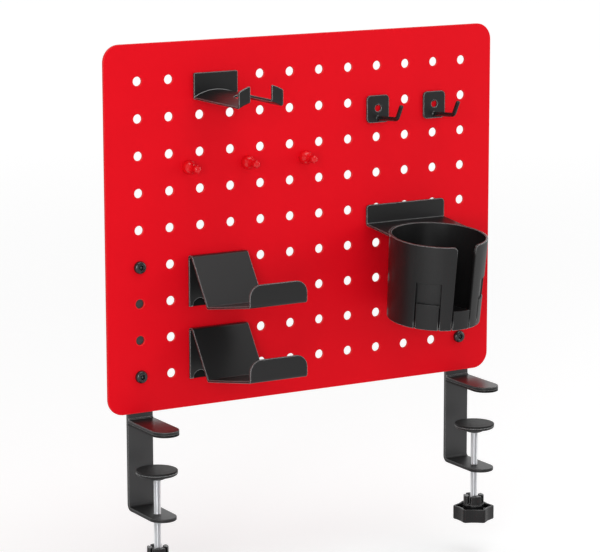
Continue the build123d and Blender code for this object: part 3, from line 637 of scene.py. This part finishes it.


# painted highlight: the lighter grey on the knobs' edges
nylon = finish("black_nylon", (0.0075, 0.0075, 0.008), drift=0.1, roughness=0.27, grain=1300.0, relief=0.02,
               specular=0.42, edge=(0.30, 0.30, 0.30))
hub_profile = [(POLE, KNOB_FOOT + 1.5), (HUB_RADIUS, KNOB_FOOT + 1.5), (HUB_RADIUS, SLOT_FLOOR),
               (POLE, SLOT_FLOOR)]
core_profile = [(POLE, SLOT_FLOOR - 1), (5.0, SLOT_FLOOR - 1), (5.0, HUB_TOP - 1.8), (4.7, HUB_TOP - 1.5),
                (3.3, HUB_TOP - 1.5), (3.1, HUB_TOP - 2.2), (POLE, HUB_TOP - 2.2)]
spin = np.array([[cos(KNOB_TURN), sin(KNOB_TURN), 0], [-sin(KNOB_TURN), cos(KNOB_TURN), 0], [0, 0, 1]])
knob_parts = [shell_of_knob(), turned(hub_profile, columns=48), turned(core_profile, columns=48)]
knob_parts += [castle(quarter) for quarter in range(4)] + [web(step * pi / 3) for step in range(6)]
for side, x in SIDES.items():
    parts = [(np.reshape(points, (-1, 3)) @ spin + (x, SCREW_Y, 0), faces) for points, faces in knob_parts]
    knob = made_piece(f"knob_moulding_{side}", parts, nylon, rounding=0.35)
    belongs(knob, f"screw_{side}", "black_nylon", f"clamp_knob_{side}")

# ---- Panel screws and nuts --------------------------------------------------------------------------
# Four M6 button heads, 10.5 mm wide and 3.3 mm high with 4 mm hexagon sockets, and 10 mm nuts, 5 mm
# thick, behind the straps. The screws are black oxide with a trace of oil, the nuts zinc plated.

HEAD_RADIUS, HEAD_RIM, HEAD_HEIGHT, SOCKET_FLATS = 5.25, 0.6, 3.3, 4.0
NUT_FLATS, NUT_FACE, NUT_BORE, NUT_HEIGHT = 10.0, 4.8, 3.05, 5.0


def hexagon(flats, columns):
    """Radius of a hexagon in polar form: half its width across flats over the cosine of the angle from
    the middle of the nearest flat."""
    angle = 2 * pi * np.arange(columns) / columns
    return flats / 2 / np.cos((angle + pi / 6) % (pi / 3) - pi / 6)


def button_head(x, z, columns=48):
    """Flat back, rim, dome, socket walls and floor. With t from the rim to the crown, the dome's radius
    falls with t to the power 2.1, and its height grows as the sine of t quarter turns, to the power 0.92."""
    dome = [(HEAD_RADIUS - 2.35 * t**2.1, HEAD_RIM + (HEAD_HEIGHT - HEAD_RIM) * np.sin(t * pi / 2) ** 0.92)
            for t in np.linspace(0.08, 1, 8)]
    socket = hexagon(SOCKET_FLATS, columns)
    rings = [(POLE, 0.0), (HEAD_RADIUS - 0.15, 0.0), (HEAD_RADIUS, 0.15), (HEAD_RADIUS, HEAD_RIM), *dome,
             (hexagon(SOCKET_FLATS + 0.3, columns), HEAD_HEIGHT), (socket, HEAD_HEIGHT - 0.25),
             (socket, HEAD_HEIGHT - 2.0), (POLE, HEAD_HEIGHT - 2.4)]
    return turned(rings, x, -SHEET, z, columns, facing=True)


def nut(x, z, columns=48):
    """A hexagon whose radius near its two faces is cut by a cone of 30 degrees, with a bore. Heights are
    measured backwards from the strap."""
    flats = hexagon(NUT_FLATS, columns)
    sides = [(np.minimum(flats, 4.9 + 1.73 * min(height, NUT_HEIGHT - height)), -height)
             for height in (0.0, 0.2, 0.45, 2.5, 4.55, 4.8, NUT_HEIGHT)]
    rings = [(NUT_BORE, 0.0), (NUT_FACE, 0.0), *sides, (NUT_FACE, -NUT_HEIGHT), (3.3, -NUT_HEIGHT),
             (NUT_BORE, 0.3 - NUT_HEIGHT), (NUT_BORE, 0.0)]
    return turned(rings, x, BAR, z, columns, facing=True)


oxide = finish("black_oxide", (0.012, 0.012, 0.013), drift=0.12, roughness=0.24, grain=900.0, relief=0.008,
               specular=0.6, coat=0.3)
zinc = finish("zinc_plate", (0.70, 0.71, 0.70), drift=0.05, roughness=0.32, grain=500.0, relief=0.01,
              metal=1.0)
screw_parts, nut_parts = [], []
for x in SIDES.values():
    for z in [hole_z(row) for row in BOLT_ROWS]:
        points, faces = threaded(-1.9, 10.0, crest=2.98, rows=6)
        lying = points[..., [0, 2, 1]] * (1, 1, -1)
        screw_parts += [button_head(x, z), (lying + (x, 0, z), faces)]
        nut_parts.append(nut(x, z))
screws = made_piece("button_head_screws", screw_parts, oxide)
belongs(screws, "root", "black_oxide_steel", "panel_screws")
nut_set = made_piece("hexagon_nuts", nut_parts, zinc, rounding=0.12, segments=1)
belongs(nut_set, "root", "zinc_plated_steel", "panel_nuts")

# ---- Headphone hanger ---------------------------------------------------------------------------------
# 2 mm sheet: a plate of 40 x 21.7 mm, and an arched tongue, 5.5 mm higher in the middle, that reaches
# y = -78.1 and forks into two arms with 13.5 mm lips. Two pegs behind it hang in the top row of holes.

SHEET_MIDDLE = -SHEET - 0.1 - SHEET / 2
SHEET_ROUNDING = 0.4
BETWEEN = (hole_x(2) + hole_x(3)) / 2
PEG_HALF, PEG_BELOW_HOLE, PEG_DROP, PEG_BACK, PEG_BEND = 2.5, 1.745, 4.0, 1.3, 1.1
HANGER_HALF, HANGER_TOP, HANGER_PLATE, HANGER_CROWN = 20.0, hole_z(0) + 4.0, 21.7, 5.5
LIP_Y, LIP_HEIGHT, SHEET_BEND = -77.1, 13.5, 1.6
FORK_HALF, FORK_DEPTH, ARM_CORNER = 9.7, 33.0, 1.0


def facing_plate(width, height, corner, x, z_top, hole=None):
    """A flat plate with rounded corners just in front of the panel."""
    w, h = width / 2 - corner, height / 2 - corner
    outline = np.vstack([arc((w, h), corner, 0, 90, 7), arc((-w, h), corner, 90, 180, 7),
                         arc((-w, -h), corner, 180, 270, 7), arc((w, -h), corner, 270, 360, 7)])
    flat, triangles = blank(outline, [] if hole is None else [hole])
    return np.stack([x + flat[:, 0], np.full(len(flat), SHEET_MIDDLE), z_top - height / 2 + flat[:, 1]],
                    axis=-1), triangles


def peg(column, row):
    """A hook behind the sheet: a 5 mm neck through the panel's hole and a 3 mm drop behind it."""
    z = hole_z(row) - PEG_BELOW_HOLE
    path, length = bent([(SHEET_MIDDLE, z), (PEG_BACK, z), (PEG_BACK, z - PEG_DROP)], [PEG_BEND])
    outline = [(-PEG_HALF, 0), (PEG_HALF, 0), (PEG_HALF, length[-1]), (-PEG_HALF, length[-1])]
    flat, triangles = blank(outline, [], across(length[1:-1], PEG_HALF + 0.5))
    return folded(flat, hole_x(column), path, length), triangles


def saddle():
    """A forked blank, bent up at its lips and then arched: each point rises by what the arc of a circle
    through the tongue's two sides and its crown rises at that place across it."""
    path, length = bent([(-4.0, SHEET / 2), (LIP_Y, SHEET / 2), (LIP_Y, LIP_HEIGHT)], [SHEET_BEND])
    end, half, r = length[-1], HANGER_HALF, ARM_CORNER
    notch = end - LIP_HEIGHT + 2 * r - FORK_DEPTH + FORK_HALF
    outline = np.vstack([
        [(-half, 0), (half, 0)], arc((half - r, end - r), r, 0, 90, 4),
        arc((FORK_HALF + r, end - r), r, 90, 180, 4), arc((0, notch), FORK_HALF, 0, -180, 19),
        arc((-FORK_HALF - r, end - r), r, 0, 90, 4), arc((r - half, end - r), r, 90, 180, 4)])
    ribs = [((x, -1), (x, end + 1)) for x in np.linspace(2 - half, half - 2, 13)]
    flat, triangles = blank(outline, [], across(length[1:-1], half + 1) + ribs)
    points = folded(flat, BETWEEN, path, length)
    radius = (half**2 + HANGER_CROWN**2) / (2 * HANGER_CROWN)
    points[:, 2] += HANGER_TOP - HANGER_PLATE + HANGER_CROWN - radius + np.sqrt(radius**2 - flat[:, 0] ** 2)
    return points, triangles


def sheet_piece(name, parts, body, node, material=black_coat):
    """A piece of folded 2 mm sheet with rounded edges, in black coat."""
    piece = made_piece(name, parts, material, rounding=SHEET_ROUNDING, thickness=SHEET)
    belongs(piece, body, "black_powder_coat", node)


parts = [facing_plate(2 * HANGER_HALF, HANGER_PLATE, 1.2, BETWEEN, HANGER_TOP), saddle(), peg(2, 0),
         peg(3, 0)]
sheet_piece("hanger_sheet", parts, "hanger", "headphone_hanger")

# ---- Single hooks -----------------------------------------------------------------------------------
# A 21.5 x 23 mm plate with a 6 mm eye and a peg, and a 3.6 mm wire that is welded on 14.2 mm under the
# peg's hole, rises by 4.5 degrees, turns up and leans 30 degrees forward.

HOOK_ROW, HOOK_WIDTH, HOOK_HEIGHT, HOOK_CORNER, HOOK_ABOVE_HOLE = 1, 21.5, 23.0, 3.5, 5.2
EYE_RADIUS, EYE_BELOW_HOLE = 3.0, 5.6
WIRE_RADIUS, WIRE_BELOW_HOLE, WIRE_RUN, WIRE_TIP, WIRE_BEND = 1.8, 14.2, 30.5, 14.0, 4.5
WIRE_RISE, WIRE_LEAN = radians(4.5), radians(30.0)
WELD_PROFILE = [(POLE, 0.9), (2.9, 0.9), (2.75, 1.25), (2.2, 1.6), (1.7, 2.3), (POLE, 2.3)]


def wire(path, length, x, radius, ring=18):
    """A round wire on a path in the plane of y and z: at each place, a circle square to the line between
    the points 0.4 mm before and after. Its ends are closed, the far one rounded over its last 0.9 mm."""
    along = np.concatenate([[0, 0], length[1:-1], length[-1] - np.array([0.9, 0.5, 0.15, 0, 0])])
    rounded = radius - np.array([0.2, 0.65, 1.0])
    size = np.concatenate([[POLE], np.full(len(length), radius), rounded, [POLE]])
    y, z = np.interp(along, length, path[:, 0]), np.interp(along, length, path[:, 1])
    after, before = np.clip(along + 0.4, 0, length[-1]), np.clip(along - 0.4, 0, length[-1])
    dy = np.interp(after, length, path[:, 0]) - np.interp(before, length, path[:, 0])
    dz = np.interp(after, length, path[:, 1]) - np.interp(before, length, path[:, 1])
    run = np.hypot(dy, dz)
    angle = 2 * pi * np.arange(ring) / ring
    up_y, up_z = (-dz / run)[:, None], (dy / run)[:, None]
    rise = size[:, None] * np.sin(angle)
    points = np.stack([x + size[:, None] * np.cos(angle), y[:, None] + up_y * rise, z[:, None] + up_z * rise],
                      axis=-1)
    return points, grid(len(along), ring, closed=True)


wire_coat = finish("black_wire_coat", (0.0095, 0.0095, 0.0098), drift=0.12, roughness=0.28, grain=950.0,
                   relief=0.018, specular=0.45)
eye = circle((0, HOOK_HEIGHT / 2 - HOOK_ABOVE_HOLE - EYE_BELOW_HOLE), EYE_RADIUS, 24)
for name, body, column in (("hook_left", "hook_l", 8), ("hook_right", "hook_r", 10)):
    x, z = hole_x(column), hole_z(HOOK_ROW)
    parts = [facing_plate(HOOK_WIDTH, HOOK_HEIGHT, HOOK_CORNER, x, z + HOOK_ABOVE_HOLE, eye),
             peg(column, HOOK_ROW)]
    sheet_piece(f"{name}_plate", parts, body, name)
    foot = np.array([SHEET_MIDDLE, z - WIRE_BELOW_HOLE])
    elbow = foot + WIRE_RUN * np.array([-cos(WIRE_RISE), sin(WIRE_RISE)])
    tip = elbow + WIRE_TIP * np.array([-sin(WIRE_LEAN), cos(WIRE_LEAN)])
    path, length = bent([foot, elbow, tip], [WIRE_BEND])
    foot_weld = turned(WELD_PROFILE, x, SHEET_MIDDLE, foot[1] + 0.1, columns=28, facing=True)
    bend = made_piece(f"{name}_wire", [wire(path, length, x, WIRE_RADIUS), foot_weld], wire_coat)
    belongs(bend, body, "black_powder_coat", name)

# ---- Cup holder ---------------------------------------------------------------------------------------
# Bracket: a 77.6 mm plate, 17.5 mm high, and a flange that droops 6 degrees, cut out round the cup. Cup:
# a rolled wall, 82.5 mm at the rim and 78 mm at the foot, 72 mm high, turned 3 degrees on the flange,
# with an 18 mm slot, two 21 mm windows, and a floor whose three tabs turn up into those openings.

CUP_X, CUP_ROW, CUP_COLUMNS = hole_x(9), 4, (8, 10)
CUP_HEIGHT, CUP_TURN, DROOP = 72.0, 3.0, radians(6.0)
RIM_RADIUS, FOOT_RADIUS, CUP_FORWARD, CUP_RAISED = 41.25, 39.0, 51.0, 2.0
HINGE_Y, HINGE_Z = -4.1, 145.0
FLANGE_HALF, FLANGE_CORNER, FLANGE_REACH, BRACKET_TOP = 38.8, 3.0, 53.0, hole_z(CUP_ROW) + 3.0
SLOT_CUP_HALF, SLOT_CORNER, WINDOW_HALF, WINDOW_HEIGHT, WINDOWS = 9.0, 4.0, 10.5, 40.0, (315.0, 45.0)
CUP_FLOOR, FLOOR_RADIUS, TAB_ROOT = 1.0 - CUP_HEIGHT, 36.7, 34.0
CUT_RADIUS, BEND_Z = 41.2, 145.9
COVER_HALF, COVER_LOW, COVER_HIGH, COVER_INSET, COVER_SHEET = 12.0, 19.0, 43.0, 2.42, 0.8


def in_cup_frame(points):
    """From the cup's own frame, its origin in the middle of the rim, to the shared one: forward and up to
    its place on the flange, then turned down by the droop round the flange's root."""
    x, y, z = points[..., 0], points[..., 1] - CUP_FORWARD, points[..., 2] + CUP_RAISED
    return np.stack([CUP_X + x, HINGE_Y + y * cos(DROOP) - z * sin(DROOP),
                     HINGE_Z + y * sin(DROOP) + z * cos(DROOP)], axis=-1)


def wall_radius(height):
    """The cone's outer radius falls evenly from the rim, at height 0, to the foot."""
    return RIM_RADIUS + (RIM_RADIUS - FOOT_RADIUS) * height / CUP_HEIGHT


def on_wall(degrees, height, inset=SHEET / 2):
    """A point of the wall, an inset within its outer face; 0 degrees is the slot."""
    radius = wall_radius(height) - inset
    angle = np.radians(np.asarray(degrees) + CUP_TURN)
    return in_cup_frame(np.stack([radius * np.sin(angle), -radius * np.cos(angle), height], axis=-1))


def chord(half, height):
    """Half the angle, in degrees, that a straight-sided opening takes of the wall at a height: its sine
    is half the opening's width over the radius of the wall's middle."""
    return np.degrees(np.arcsin(half / (wall_radius(height) - SHEET / 2)))


flange_end = (-2.1 - FLANGE_REACH * cos(DROOP) - sin(DROOP), HINGE_Z - FLANGE_REACH * sin(DROOP) + cos(DROOP))
path, length = bent([(SHEET_MIDDLE, BRACKET_TOP), (SHEET_MIDDLE, BEND_Z), flange_end], [SHEET_BEND])
cut_x = np.linspace(FLANGE_HALF, -FLANGE_HALF, 61)
cut = np.stack([cut_x, length[-1] - 0.01 - np.sqrt(CUT_RADIUS**2 - cut_x**2)], axis=-1)
corner_x = FLANGE_HALF - FLANGE_CORNER
outline = np.vstack([arc((-corner_x, FLANGE_CORNER), FLANGE_CORNER, 180, 270, 6),
                     arc((corner_x, FLANGE_CORNER), FLANGE_CORNER, 270, 360, 6), cut])
flat, triangles = blank(outline, [], across(length[1:-1], 45))
parts = [(folded(flat, CUP_X, path, length), triangles), *[peg(column, CUP_ROW) for column in CUP_COLUMNS]]
sheet_piece("cup_bracket_sheet", parts, "cup_holder", "cup_holder_bracket")

# The wall's blank is drawn in degrees round the cup and mm of height, from one side of the slot to the
# other. Round the windows' tops, where the covers behind them meet the wall, its edges stay black, without the
# painted highlight.
cup_coat = finish("black_cup_coat", COAT_BLACK, drift=0.12, roughness=0.34, grain=950.0, relief=0.018,
                  specular=0.42, edge=WORN_AND_HIGHLIT_GREY, edge_reach=0.9, spared=(102.0, 27.0))
foot = -CUP_HEIGHT
start, stop = chord(SLOT_CUP_HALF, 0), chord(SLOT_CUP_HALF, foot)
corner_angle = np.degrees(SLOT_CORNER / (RIM_RADIUS - SHEET / 2))
bow = np.linspace(0, pi / 2, 7)
round_corner = np.stack([corner_angle * (1 - np.cos(bow)), SLOT_CORNER * (np.sin(bow) - 1)], axis=-1)
outline = [(start + a, h) for a, h in round_corner] + [(360 - start - a, h) for a, h in round_corner[::-1]]
outline += [(360 - stop, foot)]
wide, narrow = chord(WINDOW_HALF, foot + WINDOW_HEIGHT), chord(WINDOW_HALF, foot)
for middle in WINDOWS:
    outline += [(middle + narrow, foot), (middle + wide, foot + WINDOW_HEIGHT),
                (middle - wide, foot + WINDOW_HEIGHT), (middle - narrow, foot)]
outline += [(stop, foot)]
seams = [((a, foot - 1), (a, 1)) for a in np.arange(0, 361, 5.0)]
flat, triangles = blank(outline, [], seams)
rolled = (on_wall(flat[:, 0], flat[:, 1]), triangles)
sheet_piece("cup_wall_sheet", [rolled], "cup_holder", "cup_holder_wall", cup_coat)

# A thin strip behind each window, from its tab to above its top, closes it to the eye.
covers = []
for middle in WINDOWS[::-1]:
    turn, height = np.meshgrid(middle + np.linspace(-1, 1, 9) * chord(COVER_HALF, foot + 30),
                               foot + np.array([COVER_LOW, COVER_HIGH]))
    covers.append((on_wall(turn, height, COVER_INSET), grid(2, 9)))
cover = made_piece("cup_window_covers", covers, cup_coat, thickness=COVER_SHEET)
belongs(cover, "cup_holder", "black_powder_coat", "cup_holder_wall")


def tab(middle, half, height):
    """A strip from under the floor's rim out to the wall and up in line with it, its top at that height
    over the cup's foot."""
    rises = CUP_FLOOR + np.append([0.0, 0.0], np.linspace(0.5, height - 1, 5))
    turn, rise = np.meshgrid(middle + np.linspace(-1, 1, 9) * chord(half, foot + 10), rises)
    inset = np.full((len(rises), 1), SHEET / 2)
    inset[0] = wall_radius(CUP_FLOOR) - TAB_ROOT
    return on_wall(turn, rise, inset), grid(*turn.shape)


around = np.radians(np.arange(0, 360, 6.0))
rings = np.array([[(radius * np.sin(a), -radius * np.cos(a), CUP_FLOOR) for a in around]
                  for radius in (POLE, 18.0, FLOOR_RADIUS)])
floor_parts = [(in_cup_frame(rings), grid(len(rings), len(around), closed=True))]
floor_parts += [tab(0.0, 8.0, 16.5), tab(45.0, 9.5, 22.0), tab(315.0, 9.5, 22.0)]
sheet_piece("cup_floor_sheet", floor_parts, "cup_holder", "cup_holder_base", cup_coat)

# ---- Controller holders -----------------------------------------------------------------------------
# Two alike of 2 mm sheet, 52 mm wide, one above the other: a back plate with two arched notches, a fold,
# a sloping rest, a rising base and a 16.5 mm lip with 10 mm corners. Each hangs by two pegs.

HOLDER_HALF, HOLDER_BACK, HOLDER_ABOVE_HOLE = 26.0, 42.5, 6.0
REST_RUN, REST_DROP, BASE_RUN, BASE_RISE = 26.0, 37.5, 68.0, 12.5
HEEL_Y, HOLDER_LIP_Y, LIP_TOP_DROP, LIP_CORNER = -34.6, -103.6, 8.5, 10.0
NOTCH_X, NOTCH_RADIUS, NOTCH_STRAIGHT, MOON_Y = 16.5, 6.25, 0.25, -2.5


def beside(direction):
    """A quarter turn to the left."""
    return np.array([-direction[1], direction[0]])


def meet(p, d, q, e):
    """Where the line through p along d meets the line through q along e."""
    t = np.linalg.solve(np.array([d, -e]).T, q - p)[0]
    return p + t * d


# painted shade: a black darker and duller than the coat, for the webs in the notches
painted_shade_coat = finish("painted_shade_black_coat", (0.003, 0.003, 0.003), drift=0.1, roughness=0.5, grain=950.0,
                     relief=0.018, specular=0.15)
slope = np.array([-REST_RUN, -REST_DROP]) / np.hypot(REST_RUN, REST_DROP)
climb = np.array([-BASE_RUN, BASE_RISE]) / np.hypot(BASE_RUN, BASE_RISE)
level_way, upright = np.array([1.0, 0.0]), np.array([0.0, 1.0])
moon = np.vstack([[(-6.4, 0.05)], arc((0, NOTCH_STRAIGHT), 6.4, 180, 0, 17), [(6.4, 0.05)]])
for name, body, row in (("controller_holder_upper", "controller_upper", 5),
                        ("controller_holder_lower", "controller_lower", 7)):
    z_top = hole_z(row) + HOLDER_ABOVE_HOLE
    # the sheet's middle runs 1 mm behind the rest's front face and 1 mm under the base's top face
    heel = np.array([HEEL_Y, z_top - REST_DROP])
    in_rest, in_base = heel + beside(slope), heel + beside(climb)
    corners = [(SHEET_MIDDLE, z_top - HOLDER_BACK), (SHEET_MIDDLE, z_top - 1.0),
               meet(in_rest, slope, np.array([0.0, z_top - 1.0]), level_way),
               meet(in_rest, slope, in_base, climb),
               meet(in_base, climb, np.array([HOLDER_LIP_Y, 0.0]), upright),
               (HOLDER_LIP_Y, z_top - LIP_TOP_DROP)]
    path, length = bent(corners, [SHEET_BEND, SHEET_BEND, 2.0, 2.0])
    end, corner_x = length[-1] - LIP_CORNER, HOLDER_HALF - LIP_CORNER
    outline = [(-HOLDER_HALF, 0.0)]
    for middle in (-NOTCH_X, NOTCH_X):
        outline += [(middle - NOTCH_RADIUS, 0.0), *arc((middle, NOTCH_STRAIGHT), NOTCH_RADIUS, 180, 0, 13),
                    (middle + NOTCH_RADIUS, 0.0)]
    outline += [(HOLDER_HALF, 0.0), *arc((corner_x, end), LIP_CORNER, 0, 90, 13),
                *arc((-corner_x, end), LIP_CORNER, 90, 180, 13)]
    flat, triangles = blank(outline, [], across(length[1:-1], 30))
    parts = [(folded(flat, BETWEEN, path, length), triangles), peg(2, row), peg(3, row)]
    sheet_piece(f"{name}_sheet", parts, body, name)
    # painted shade: slim dark webs close the rear of the notches and stand in for the shade seen in them
    flat, triangles = blank(moon)
    z = z_top - HOLDER_BACK + flat[:, 1]
    moons = [(np.stack([BETWEEN + middle + flat[:, 0], np.full_like(z, MOON_Y), z], axis=-1), triangles)
             for middle in (-NOTCH_X, NOTCH_X)]
    shade_web_piece = made_piece(f"{name}_painted_shade_webs", moons, painted_shade_coat, thickness=0.8)
    belongs(shade_web_piece, body, "black_powder_coat", name)

# ---- Push-pin magnets ---------------------------------------------------------------------------------
# Three glossy red moulded pins, 11.5 mm wide and 17.6 mm long: a rim, a domed shoulder, a waist and a
# finger knob. An 8 x 3 mm nickel-plated magnet sits in each base and holds it on the panel.

PIN_X, PIN_Y, PIN_Z = {1: -109.0, 2: -54.7, 3: -0.4}, -2.1, 207.5
PIN_RADIUS, PIN_LENGTH, MAGNET_RADIUS, MAGNET_HEIGHT = 5.75, 17.6, 3.98, 3.0


def swing(start, end, steps):
    """An arc that leaves its first point along the axis: its centre lies R nearer the axis at the same
    height, with R = (step across squared + step along squared) / (2 * step across)."""
    (r0, z0), (r1, z1) = start, end
    radius = ((r1 - r0) ** 2 + (z1 - z0) ** 2) / (2 * (r0 - r1))
    angle = np.linspace(0, np.arcsin((z1 - z0) / radius), steps)
    return np.stack([r0 - radius + radius * np.cos(angle), z0 + radius * np.sin(angle)], axis=-1)


shoulder, waist, widest = (3.7, 6.4), (2.1, 11.2), (3.2, 15.4)
pin_profile = np.vstack([
    [(POLE, 3.05), (4.05, 3.05), (4.05, 0.0), (5.3, 0.0), (5.6, 0.15), (PIN_RADIUS, 0.5)],
    swing((PIN_RADIUS, 2.2), shoulder, 9), swing(waist, shoulder, 8)[::-1][1:],
    swing(widest, waist, 6)[::-1][1:], swing(widest, (2.6, 17.1), 7)[1:],
    [(2.25, 17.45), (1.7, PIN_LENGTH), (POLE, PIN_LENGTH + 0.05)]])
magnet_profile = [(POLE, 0.0), (3.75, 0.0), (MAGNET_RADIUS, 0.2), (MAGNET_RADIUS, MAGNET_HEIGHT - 0.2),
                  (3.75, MAGNET_HEIGHT), (POLE, MAGNET_HEIGHT)]
red_gloss = finish("red_plastic", (0.72, 0.004, 0.009), drift=0.03, roughness=0.16, grain=260.0, relief=0.004,
                   specular=0.6)
nickel = finish("nickel_plate", (0.72, 0.70, 0.66), drift=0.03, roughness=0.18, grain=600.0, relief=0.004,
                metal=1.0)
for number, x in PIN_X.items():
    moulding = turned(pin_profile, x, PIN_Y, PIN_Z, 48, facing=True)
    pin = made_piece(f"pin_moulding_{number}", [moulding], red_gloss)
    belongs(pin, f"pin_{number}", "red_plastic", f"push_pin_{number}")
    disc = turned(magnet_profile, x, PIN_Y, PIN_Z, 32, facing=True)
    magnet = made_piece(f"magnet_disc_{number}", [disc], nickel)
    belongs(magnet, f"pin_{number}", "nickel_magnet", f"pin_magnet_{number}")
